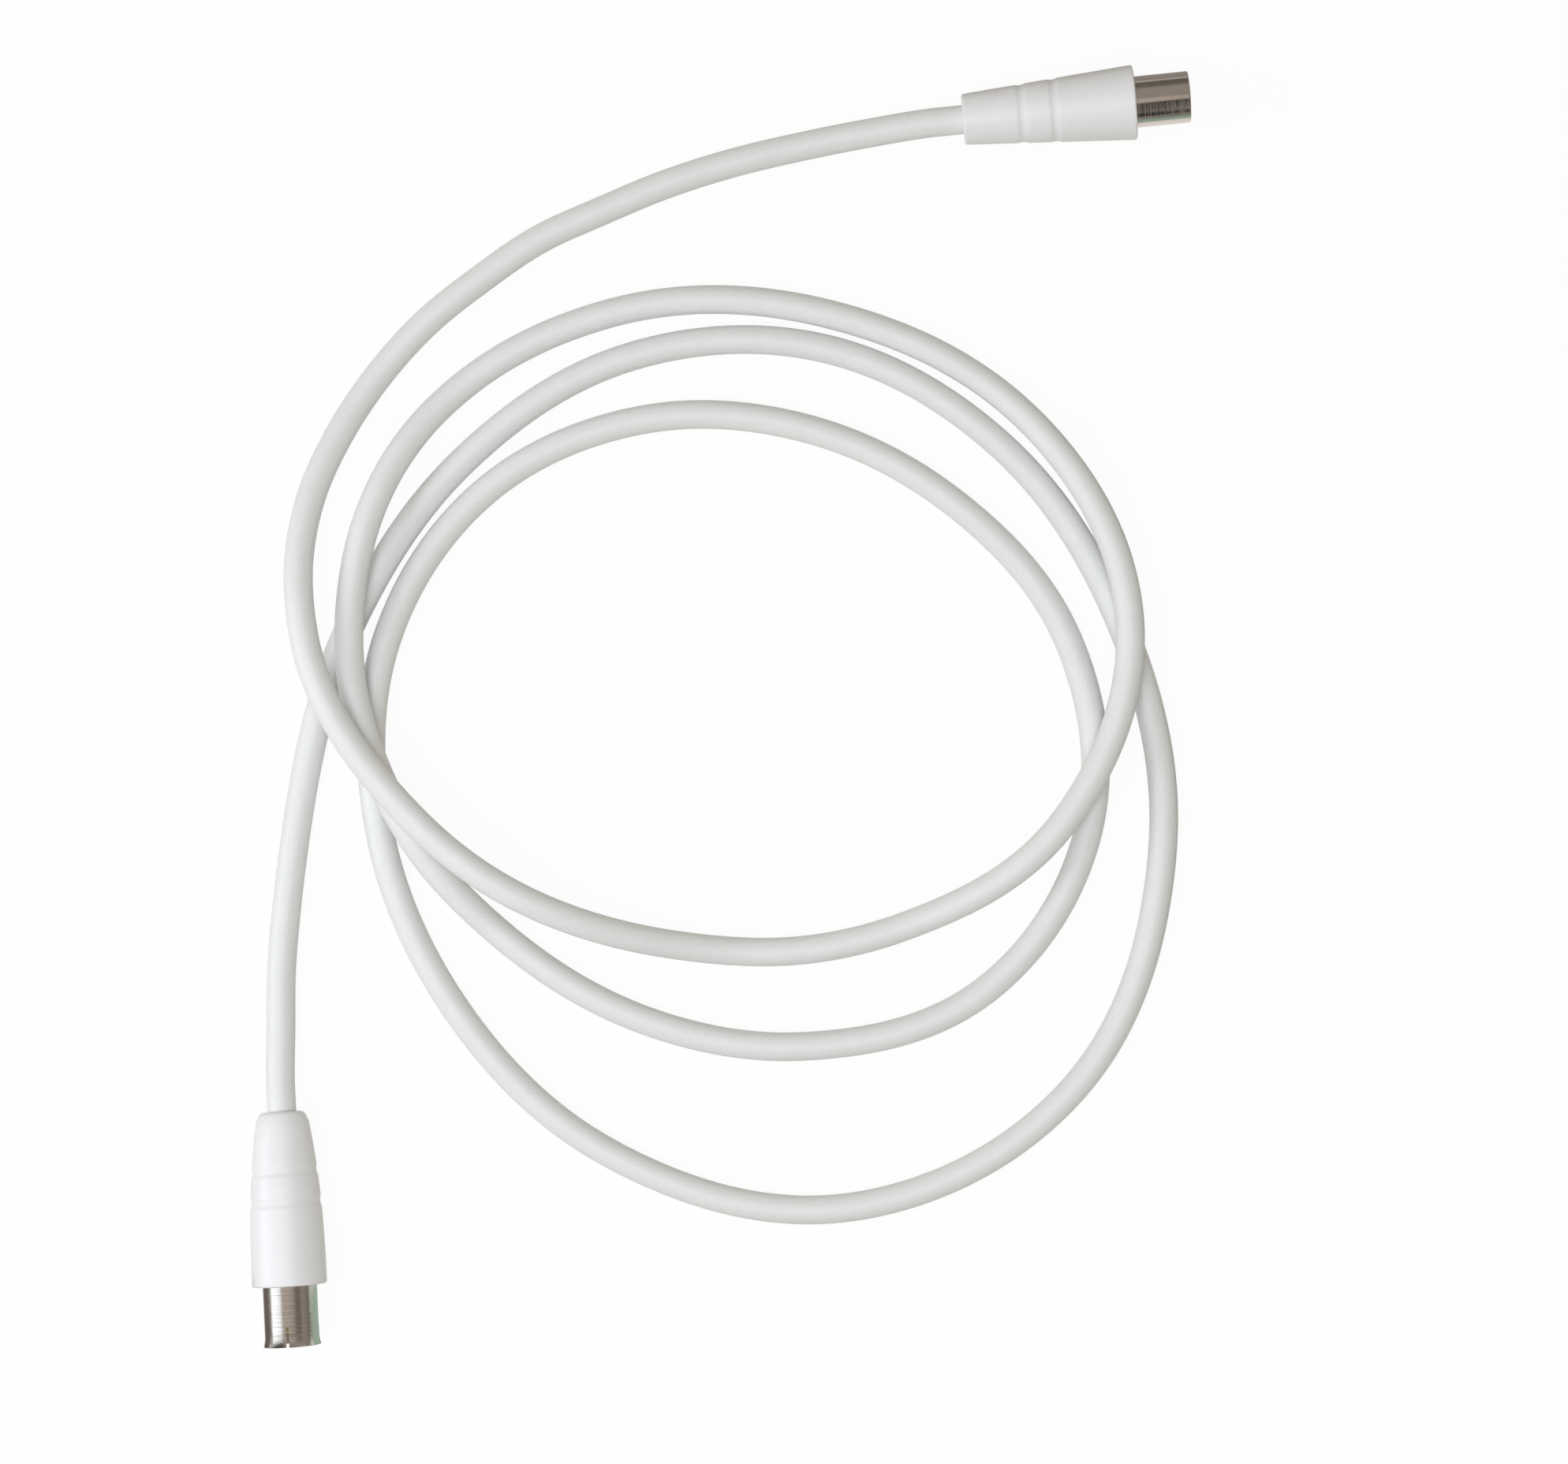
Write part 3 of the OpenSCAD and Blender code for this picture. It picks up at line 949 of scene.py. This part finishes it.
@dataclass
class Fittings:
    """Sizes that both connectors share."""

    jacket_r: float = 2.7
    mould_gap: float = 0.03
    press_gap: float = 0.02
    tail_r: float = 1.95
    jacket_in: float = 9.0
    at_tail: float = 10.0
    at_shoulder: float = 15.5
    at_barrel: float = 18.0
    at_cup: float = 18.5
    cup_depth: float = 3.5
    cup_r: float = 0.45
    ferrule_wall: float = 0.5
    inner_wall: float = 0.8
    cover_wall: float = 0.55
    groove_r: float = 2.0
    groove_depth: float = 0.21
    groove_steps: int = 12
    lip: float = 0.15
    lip_depth: float = 0.035
    lip_clear: float = 3.0
    lip_reach: float = 2.5
    insulator_round: float = 0.3
    hole_round: float = 0.15
    segments: int = 112
    insulator_segments: int = 64
    contact_segments: int = 48

    def ferrule_r(self, wall: float) -> float:
        """Gives the ferrule's outer radius on a shell of the given wall."""
        return self.tail_r + wall + self.press_gap + self.ferrule_wall

    def hollow(
        self, wall: float, barrel_r: float, cover_len: float, front: float
    ) -> Profile:
        """Gives the hollow of an outer moulding, from its front to its rear.

        Args:
            wall: The shell's wall.
            barrel_r: The radius of the shell inside the moulding.
            cover_len: Length of the inner moulding over the barrel.
            front: Station of the body's front.

        Returns:
            The corners.
        """
        gap = self.mould_gap
        back = self.ferrule_r(wall) + self.inner_wall + gap
        cover = barrel_r + self.cover_wall + gap
        return [
            (barrel_r + gap, front),
            (barrel_r + gap, self.at_barrel + cover_len + gap),
            (cover, self.at_barrel + cover_len + gap),
            (cover, self.at_barrel),
            (back, self.at_shoulder),
            (back, self.jacket_in),
            (self.jacket_r + gap, self.jacket_in),
            (self.jacket_r + gap, 0.0),
        ]

    def grooved(
        self, side: Callable[[float], float], start: float, end: float,
        grooves: Sequence[float], steps: int,
    ) -> Profile:  # fmt: skip
        """Gives the side of a body with its ring grooves, rear to front.

        Args:
            side: Gives the body's radius at a station.
            start: First station.
            end: Last station.
            grooves: Stations of the grooves.
            steps: Steps between start and end.

        Returns:
            The points, with the grooves' lips softened.
        """
        half = math.sqrt(
            self.groove_r**2 - (self.groove_r - self.groove_depth) ** 2
        )
        clear = half + self.lip_clear * self.lip
        stations = [start + (end - start) * index / steps for index in range(steps + 1)]
        profile = [
            (side(station), station)
            for station in stations
            if all(abs(station - groove) > clear for groove in grooves)
        ]
        count = self.groove_steps
        for groove in grooves:
            for index in range(-count, count + 1):
                offset = index / count * (half + self.lip_reach * self.lip)
                depth, soft = 0.0, math.exp(-(((abs(offset) - half) / self.lip) ** 2))
                if abs(offset) < half:
                    floor = self.groove_r - self.groove_depth
                    depth = math.sqrt(self.groove_r**2 - offset**2) - floor
                    soft = 1.0
                depth = max(depth, self.lip_depth * soft)
                station = groove + offset
                profile.append((side(station) - depth, station))
        return sorted(profile, key=lambda corner: corner[1])


@dataclass
class Connector(ABC):
    """What the plug and the socket have in common."""

    placing: Placing
    fittings: Fittings
    pieces: dict[str, bpy.types.Object] = field(default_factory=dict)
    length: float = 32.3
    front_d: float = 13.9
    front_round: float = 0.4
    wall: float = field(init=False)
    inside_r: float = field(init=False)
    metal_len: float = field(init=False)
    seat_r: float = field(init=False)
    mouth: float = field(init=False)
    insulator_gap: float = field(init=False)
    cover_len: float = field(init=False)
    end: ClassVar[End]
    contact_node: ClassVar[str]
    hidden: ClassVar[tuple[str, ...]] = ("inner_mould", "crimp_ferrule", "solder_joint")

    @property
    def tip(self) -> float:
        """Gives the station of the metal's front."""
        return self.length + self.metal_len

    @property
    def shell_r(self) -> float:
        """Gives the radius of the metal inside the body."""
        return self.inside_r + self.wall

    @abstractmethod
    def body(self) -> bpy.types.Object:
        """Builds the moulded body."""

    @abstractmethod
    def metal(self) -> bpy.types.Object:
        """Builds the metal outside the insulator, with its tail."""

    @abstractmethod
    def contact(self) -> bpy.types.Object:
        """Builds the centre pin or contact."""

    def turn(
        self, name: str, profile: Profile, segments: int = 0
    ) -> bpy.types.Object:
        """Turns one of the connector's pieces.

        Args:
            name: The piece's name, without the end's.
            profile: Its half section.
            segments: Segments round the axis, where they aren't the usual ones.

        Returns:
            The piece.
        """
        segments = segments or self.fittings.segments
        return turned(f"{self.end.word}_{name}", profile, self.placing, segments)

    def hollow(self) -> Profile:
        """Gives the hollow of the body, from its front to its rear."""
        return self.fittings.hollow(
            self.wall, self.shell_r, self.cover_len, self.length
        )

    def shell(self, name: str, front: Profile) -> bpy.types.Object:
        """Turns the metal, from its tail over the shoulder to a given front.

        Args:
            name: The piece's name, without the end's.
            front: The half section in front of the shoulder.

        Returns:
            The piece.
        """
        fit = self.fittings
        outer = fit.tail_r + self.wall
        profile = [
            (fit.tail_r, fit.at_tail),
            (outer, fit.at_tail),
            (outer, fit.at_shoulder),
            (self.shell_r, fit.at_barrel),
            *front,
            (self.inside_r, fit.at_barrel),
            (fit.tail_r, fit.at_shoulder),
        ]
        return self.turn(name, profile)

    def insulator(self) -> bpy.types.Object:
        """Builds the insulator round the contact, with rounded edges."""
        fit = self.fittings
        start, end = fit.at_barrel + self.insulator_gap, self.tip - self.mouth
        outer = self.inside_r - fit.press_gap
        hole = self.seat_r + fit.press_gap
        edge, inner = fit.insulator_round, fit.hole_round
        profile = [
            (hole, start),
            *arc(outer - edge, start + edge, edge, -90, 0, 4),
            *arc(outer - edge, end - edge, edge, 0, 90, 4),
            *arc(hole + inner, end - inner, inner, 90, 180, 3),
        ]
        return self.turn("insulator", profile, fit.insulator_segments)

    def build(self) -> None:
        """Builds the visible pieces and lets each stand for its node."""
        for part, method in (
            ("overmould", self.body),
            ("shell", self.metal),
            ("insulator", self.insulator),
            (self.contact_node, self.contact),
        ):
            node, piece = f"{self.end.value}_{part}", method()
            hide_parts(node)
            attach(piece, "root")
            self.pieces[node] = piece
            LOG.info("%s stands for %s", piece.name, node)

    def dress(self, finishes: "Finishes") -> None:
        """Gives the visible pieces and the hidden solids their finish."""
        for node, piece in self.pieces.items():
            finishes.dress(piece, SLOT_OF[node], self.end)
        for part in self.hidden:
            node = f"{self.end.value}_{part}"
            finishes.dress(frame["nodes"][node], SLOT_OF[node], self.end)


@dataclass
class Plug(Connector):
    """The push-on plug: body, sleeve, insulator and pin."""

    back_d: float = 9.4
    back_round: float = 0.6
    side_inset: float = 0.2
    side_steps: int = 12
    grooves: tuple[float, float] = (11.1, 17.2)
    sleeve_r: float = 4.7625
    wall: float = 0.4
    metal_len: float = 10.2
    inside_r: float = 4.05
    pin_r: float = 1.2
    seat_r: float = 1.55
    pin_recess: float = 0.5
    mouth: float = 15.5
    insulator_gap: float = 2.0
    cover_len: float = 8.0
    end: ClassVar[End] = End.PLUG
    contact_node: ClassVar[str] = "centre_pin"

    @classmethod
    def lying(cls, x: float, y: float, heading: float) -> Placing:
        """Places a plug that lies on its conical side.

        Args:
            x: The middle of its entry face, in millimetres.
            y: The same.
            heading: Its heading, in degrees.

        Returns:
            The placing.
        """
        slope = (cls.front_d - cls.back_d) / 2 / cls.length
        tilt = math.degrees(math.atan(slope))
        height = cls.back_d / 2 * math.cos(math.radians(tilt))
        return Placing(x, y, height, heading, tilt)

    def side(self, station: float) -> float:
        """Gives the body's radius at a station."""
        spread = self.front_d - self.back_d
        return (self.back_d + spread * station / self.length) / 2

    def body(self) -> bpy.types.Object:
        """Builds the moulded body."""
        back, front, tilt = self.back_round, self.front_round, self.placing.tilt
        profile = arc(self.side(back) - back, back, back, -90, -tilt)
        inset = self.side_inset
        profile += self.fittings.grooved(
            self.side, back + inset, self.length - front - inset, self.grooves,
            self.side_steps,
        )  # fmt: skip
        profile += arc(
            self.side(self.length - front) - front, self.length - front, front,
            -tilt, 90,
        )  # fmt: skip
        return self.turn("body", profile + self.hollow())

    def metal(self) -> bpy.types.Object:
        """Builds the metal sleeve with its tail."""
        wall, rim = self.wall, self.wall / 2
        front = [
            (self.shell_r, self.length),
            (self.sleeve_r, self.length),
            *arc(self.sleeve_r - rim, self.tip - rim, rim, 0, 180, 10),
            (self.sleeve_r - wall, self.length + wall),
            (self.inside_r, self.length + wall),
        ]
        return self.shell("sleeve", front)

    def contact(self) -> bpy.types.Object:
        """Builds the centre pin."""
        fit, radius = self.fittings, self.pin_r
        seat_end, tip = self.tip - self.mouth, self.tip - self.pin_recess
        profile = [
            (fit.cup_r, fit.at_cup),
            (self.seat_r, fit.at_cup),
            (self.seat_r, seat_end),
            (radius, seat_end),
            *arc(0.0, tip - radius, radius, 0, 90, 10),
            (0.0, fit.at_cup + fit.cup_depth),
            (fit.cup_r, fit.at_cup + fit.cup_depth),
        ]
        return self.turn("pin", profile, fit.contact_segments)


@dataclass
class SocketEnd(Connector):
    """The push-on socket: body, slotted barrel, insulator and contact."""

    back_d: float = 9.2
    curve: float = 2.5
    back_round: float = 1.8
    grooves: tuple[float, float] = (11.2, 17.0)
    inside_r: float = 4.8
    wall: float = 0.25
    metal_len: float = 11.2
    lip_len: float = 1.9
    lip_steps: int = 12
    flare: float = 0.28
    slots: int = 4
    slot_w: float = 0.5
    slot_len: float = 3.7
    seat_r: float = 1.85
    contact_bore_r: float = 1.22
    contact_depth: float = 11.0
    contact_slot_w: float = 0.4
    contact_slot_len: float = 7.0
    contact_recess: float = 2.5
    contact_round: float = 0.2
    contact_bevel: float = 0.1
    mouth: float = 14.1
    insulator_gap: float = 5.0
    cover_len: float = 10.0
    side_steps: int = 30
    end: ClassVar[End] = End.SOCKET
    contact_node: ClassVar[str] = "centre_socket"

    def side(self, station: float) -> float:
        """Gives the body's radius at a station."""
        share = min(max(station / self.length, 0.0), 1.0)
        return (
            self.front_d / 2
            - (self.front_d - self.back_d) / 2 * (1 - share) ** self.curve
        )

    def body(self) -> bpy.types.Object:
        """Builds the moulded body."""
        back, front = self.back_round, self.front_round
        nudge = back / 10
        lean = math.atan((self.side(back + nudge) - self.side(back)) / nudge)
        sine = math.sin(lean)
        profile = arc(
            self.side(back) - back * math.cos(lean), back * (1 - sine),
            back * (1 - sine), -90, -math.degrees(lean),
        )  # fmt: skip
        profile += self.fittings.grooved(
            self.side, back, self.length - front, self.grooves, self.side_steps
        )
        profile += arc(
            self.front_d / 2 - front, self.length - front, front, 0, 90
        )
        return self.turn("body", profile + self.hollow())

    def metal(self) -> bpy.types.Object:
        """Builds the slotted barrel with its tail."""
        wall, tip, outer, out = self.wall, self.tip, self.shell_r, self.flare
        lip, rim = tip - self.lip_len, wall / 2
        count, bend_len = self.lip_steps, self.lip_len - rim
        bend = [
            (outer + out * (step / count) ** 2, lip + bend_len * step / count)
            for step in range(count + 1)
        ]
        front = [
            *bend,
            *arc(outer + out - rim, tip - rim, rim, 0, 180, 8),
            *[(radius - wall, station) for radius, station in reversed(bend)],
        ]
        piece = self.shell("barrel", front)
        cut_slots(
            piece,
            self.placing,
            (outer - 2 * wall, -self.slot_w / 2, tip - self.slot_len),
            (outer + wall + out, self.slot_w / 2, tip + self.slot_len),
            [180 + index * 360 / self.slots for index in range(self.slots)],
        )
        return piece

    def contact(self) -> bpy.types.Object:
        """Builds the slotted centre contact."""
        fit, radius, bore = self.fittings, self.seat_r, self.contact_bore_r
        tip = self.tip - self.contact_recess
        edge, bevel = self.contact_round, self.contact_bevel
        profile = [
            (fit.cup_r, fit.at_cup),
            (radius, fit.at_cup),
            *arc(radius - edge, tip - edge, edge, 0, 90, 4),
            (bore + bevel, tip),
            (bore, tip - bevel),
            (bore, tip - self.contact_depth),
            (0.0, tip - self.contact_depth),
            (0.0, fit.at_cup + fit.cup_depth),
            (fit.cup_r, fit.at_cup + fit.cup_depth),
        ]
        piece = self.turn("contact", profile, fit.contact_segments)
        half = self.contact_slot_w / 2
        low = (-2 * radius, -half, tip - self.contact_slot_len)
        high = (2 * radius, half, tip + self.contact_slot_len)
        cut_slots(piece, self.placing, low, high, [0])
        return piece


# --------------------------------------------------------------------- setting


WARM: Colour = (1.0, 0.93, 0.88)
COOL: Colour = (0.80, 0.90, 1.0)
GREEN: Colour = (0.74, 1.0, 0.87)
LOW, HIGH = 0.0006, 0.0009


@dataclass(frozen=True)
class Lamp:
    """A soft rectangular lamp that doesn't show in reflections, in metres."""

    name: str
    place: Point
    aim: Point
    size: tuple[float, float]
    power: float
    tint: Colour = (0.91, 0.935, 1.0)

    def hang(self) -> None:
        """Hangs the lamp."""
        data = bpy.data.lights.new(self.name, "AREA")
        data.shape = "RECTANGLE"
        data.size, data.size_y = self.size
        data.energy = self.power
        data.color = self.tint
        lamp = bpy.data.objects.new(self.name, data)
        lamp.location = self.place
        direction = Vector(self.aim) - Vector(self.place)
        lamp.rotation_euler = direction.to_track_quat("-Z", "Y").to_euler()
        lamp.visible_glossy = False
        bpy.context.scene.collection.objects.link(lamp)


@dataclass(frozen=True)
class Card:
    """A flat glowing card that only shows in reflections, in metres.

    Its lowest and highest corner agree in one direction, across which it is
    flat, and a strength of 1 is white.
    """

    name: str
    low: Point
    high: Point
    strength: float
    tint: Colour = WARM

    def hang(self) -> None:
        """Hangs the card."""
        low, high = self.low, self.high
        first, second = (axis for axis in range(3) if high[axis] > low[axis])
        points = []
        for across, along in ((low, low), (high, low), (high, high), (low, high)):
            point = list(low)
            point[first], point[second] = across[first], along[second]
            points.append([part / MM for part in point])
        mesh = mesh_of(self.name, points, [[0, 1, 2, 3]])
        material, graph = new_material(self.name)
        graph.end_with(graph.glow(self.tint, self.strength))
        mesh.materials.append(material)
        card = add_object(self.name, mesh)
        card.visible_camera = False
        card.visible_diffuse = False
        card.visible_transmission = False
        card.visible_shadow = False


LAMPS = (
    Lamp("soft_top", (-0.10, -0.13, 0.74), (-0.05, -0.08, 0), (0.5, 0.5), 3.3),
    Lamp("soft_left", (-0.64, 0.0, 0.29), (0, -0.03, 0), (0.4, 0.3), 1.65),
)
# Pale, grey and dark cards, which give the metal its bands
# fmt: off
CARDS = (
    Card("ceiling", (-0.88, -2.4, 1.30), (2.5, 2.4, 1.30), 0.37),
    Card("ceiling_left", (-1.65, -0.7, 1.30), (-0.88, 0.12, 1.30), 2.0, COOL),
    Card("ceiling_corner", (-1.65, -2.4, 1.30), (-0.88, -0.7, 1.30), 0.06),
    Card("wall_left", (-1.65, -0.62, 0.28), (-1.65, 0.15, 1.30), 2.3, COOL),
    Card("wall_left_foot", (-1.65, -0.62, 0.0), (-1.65, 0.15, 0.28), 0.25),
    Card("wall_left_back", (-1.65, 0.15, 0.0), (-1.65, 2.4, 1.30), 0.08),
    Card("ceiling_left_back", (-1.65, 0.12, 1.30), (-0.88, 2.4, 1.30), 0.08),
    Card("wall_left_front", (-1.65, -2.4, 0.0), (-1.65, -0.62, 1.30), 0.06),
    Card("pale_over_socket", (-0.80, -0.30, 1.28), (0.40, 0.15, 1.28), 0.62),
    Card("dark_over_socket", (0.62, -0.45, 1.28), (1.70, 0.30, 1.28), 0.17),
    Card("dark_over_plug", (0.0, -2.35, 1.27), (0.50, -0.25, 1.27), 0.01),
    Card("dark_over_back", (-0.8, 1.7, 1.28), (0.8, 2.4, 1.28), 0.20),
    Card("wall_front", (-0.4, -2.4, 0.32), (1.4, -2.4, 1.30), 0.04),
    Card("wall_front_foot", (-0.4, -2.4, 0.0), (1.4, -2.4, 0.32), 0.30),
    Card("wall_back", (-1.6, 2.4, 0.10), (1.6, 2.4, 1.30), 0.16),
    Card("wall_right", (2.5, -2.4, 0.30), (2.5, 2.4, 1.30), 0.31),
    Card("wall_right_foot", (2.5, -2.4, 0.0), (2.5, 2.4, 0.30), 0.17),
    # Painted shade: the cards on the floor near the connectors stand, in the metal's
    # reflections, for the floor in the lead's shadow.
    Card("floor_back", (0.04, 0.117, LOW), (0.40, 0.60, LOW), 0.35),
    Card("floor_front", (0.065, 0.030, LOW), (0.40, 0.094, LOW), 0.50, GREEN),
    Card("floor_far", (0.086, -0.109, HIGH), (1.20, 0.060, HIGH), 0.31, GREEN),
    Card("floor_side", (0.05, -0.24, HIGH), (1.20, -0.109, HIGH), 0.14),
    Card("floor_wide", (-1.65, -2.4, LOW), (2.5, -0.24, LOW), 0.15),
    Card("floor_right", (-0.035, -0.24, HIGH), (0.05, -0.109, HIGH), 0.3, GREEN),
    Card("floor_near", (-0.079, -0.24, HIGH), (-0.035, -0.109, HIGH), 0.6, GREEN),
    Card("floor_left", (-0.50, -0.24, LOW), (-0.092, -0.109, LOW), 0.19),
)
# fmt: on


@dataclass
class Studio:
    """Floor, background, lamps and camera."""

    camera_at: Point = (11.5, -5.0, 600.0)
    focal_px: float = 4005.0
    picture_width_px: float = 1988.0
    sensor_mm: float = 36.0
    clip: tuple[float, float] = (0.01, 20.0)
    floor_half: float = 2500.0
    floor_drop: float = 0.05
    floor_glow: float = 0.94
    floor_light: Colour = (0.57, 0.53, 0.45)
    floor_seen: Colour = (0.95, 0.95, 0.95)
    world_light: Colour = (1.0, 0.93, 0.77)
    world_strength: float = 0.36
    white: Colour = (1.0, 1.0, 1.0)

    def camera(self) -> None:
        """Sets the camera straight above the lead."""
        data = bpy.data.cameras.new("camera")
        data.sensor_width = self.sensor_mm
        data.lens = self.sensor_mm * self.focal_px / self.picture_width_px
        data.clip_start, data.clip_end = self.clip
        camera = bpy.data.objects.new("camera", data)
        camera.location = MM * Vector(self.camera_at)
        bpy.context.scene.collection.objects.link(camera)
        bpy.context.scene.camera = camera

    @staticmethod
    def _seen(graph: Graph) -> Number:
        """Tells rays that see a background from rays that carry light.

        Args:
            graph: The graph of the background.

        Returns:
            1 where the ray sees it and 0 where it carries light.
        """
        path = graph.add("ShaderNodeLightPath")
        seen = Number(graph, path.outputs["Is Camera Ray"])
        seen = seen + Number(graph, path.outputs["Is Glossy Ray"])
        seen = seen + Number(graph, path.outputs["Is Transmission Ray"])
        return seen.clamp(0.0, 1.0)

    def floor(self) -> None:
        """Lays a pale floor that keeps the lead's shadow."""
        material, graph = new_material("pale_floor")
        seen = self._seen(graph)
        colour = graph.mix(seen, self.floor_light, self.floor_seen)
        plain = graph.add("ShaderNodeBsdfDiffuse", None, {"Color": colour})
        glow = graph.glow(self.white, 1.0)
        sockets = {0: seen * self.floor_glow, 1: plain.outputs[0], 2: glow}
        mix = graph.add("ShaderNodeMixShader", None, sockets)
        graph.end_with(mix.outputs[0])
        half, drop = self.floor_half, -self.floor_drop
        points = [
            (x * half, y * half, drop)
            for x, y in ((-1, -1), (1, -1), (1, 1), (-1, 1))
        ]
        mesh = mesh_of("floor", points, [[0, 1, 2, 3]])
        mesh.materials.append(material)
        add_object("floor", mesh)

    def background(self) -> None:
        """Makes the world white to the eye and pale grey as a light."""
        world = bpy.data.worlds.new("world")
        bpy.context.scene.world = world
        world.use_nodes = True
        graph = Graph(world.node_tree)
        seen = self._seen(graph)
        colour = graph.mix(seen, self.world_light, self.white)
        strength = self.world_strength + seen * (1 - self.world_strength)
        sockets = {"Color": colour, "Strength": strength}
        shade = graph.add("ShaderNodeBackground", None, sockets)
        graph.end_with(shade.outputs[0], "World")

    def build(self) -> None:
        """Sets up everything round the lead."""
        self.floor()
        self.background()
        for thing in (*LAMPS, *CARDS):
            thing.hang()


# ------------------------------------------------------------------- finishing


Finish = MouldedPlastic | TurnedMetal | BraidedWire

# Finishes that are the same at both ends
COMMON: dict[str, Finish] = {
    "body_white": MouldedPlastic(
        "white_body", (0.82, 0.83, 0.85), 0.38, 0.03, 0.6, 0.03, 0.3, 0.006
    ),
    "jacket_white": MouldedPlastic(
        "white_jacket", (0.785, 0.80, 0.805), 0.45, 0.05, 0.45, 0.04, 0.3, 0.01
    ),
    "insulator_plastic": MouldedPlastic("insulator_plastic", (0.78, 0.77, 0.70), 0.45),
    "natural_plastic": MouldedPlastic("natural_plastic", (0.80, 0.79, 0.72), 0.5),
    "foam_dielectric": MouldedPlastic(
        "foamed_insulation", (0.88, 0.88, 0.86), 0.7, 0.06, 0.2
    ),
    "braid": BraidedWire("tinned_braid", (0.74, 0.74, 0.75)),
    "copper": TurnedMetal("bare_copper", (0.82, 0.46, 0.30), 0.25, mark_depth_mm=0),
}
# Metals with marks round the axis of the connector that they are on
TURNED: dict[str, TurnedMetal] = {
    "plated_metal": TurnedMetal("plating", (0.64, 0.575, 0.51), 0.15),
    "contact_brass": TurnedMetal("contact_brass", (0.80, 0.70, 0.42), 0.22),
    "tinned_metal": TurnedMetal("tinned_metal", (0.72, 0.72, 0.72), 0.34),
    "solder": TurnedMetal("solder", (0.68, 0.69, 0.70), 0.30, mark_depth_mm=0),
}


class Finishes:
    """Makes each finish once and hands it out by material slot."""

    def __init__(self, axes: Mapping[End, Point]) -> None:
        """Starts with nothing made.

        Args:
            axes: The direction of each connector's axis.
        """
        self.axes = axes
        self.made: dict[str, bpy.types.Material] = {}

    def _choose(self, slot: str, end: End) -> Finish:
        """Chooses the finish of a slot.

        Args:
            slot: The record's material slot.
            end: The end that the piece is on.

        Returns:
            The finish.
        """
        if slot in COMMON:
            return COMMON[slot]
        metal = TURNED[slot]
        return replace(metal, name=f"{end.word}_{metal.name}", axis=self.axes[end])

    def dress(self, piece: bpy.types.Object, slot: str, end: End) -> None:
        """Gives a piece its finish.

        Args:
            piece: The piece.
            slot: The record's material slot.
            end: The end that the piece is on.
        """
        finish = self._choose(slot, end)
        if finish.name not in self.made:
            self.made[finish.name] = finish.build()
        piece.data.materials.clear()
        piece.data.materials.append(self.made[finish.name])
        LOG.info("%s: %s", piece.name, finish.name)


def main() -> None:
    """Builds the camera, the cable, both connectors, the finishes and the light."""
    logging.basicConfig(level=logging.INFO, format="%(name)s: %(message)s")
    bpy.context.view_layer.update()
    studio = Studio()
    studio.camera()
    fittings = Fittings()
    plug = Plug(Plug.lying(45.2, 110.4, 5.0), fittings)
    socket = SocketEnd(Placing(-83.1, -76.5, 4.9411, -86.4, 6.0), fittings)
    cable = Cable(plug.placing, socket.placing, fittings.jacket_in)
    for part in (cable, plug, socket):
        part.build()
    cable.declare()
    finishes = Finishes(
        {one.end: tuple(one.placing.axis()) for one in (plug, socket)}
    )
    for part in (cable, plug, socket):
        part.dress(finishes)
    studio.build()
    bpy.context.scene.view_settings.view_transform = "Standard"


if __name__ == "__main__":
    main()
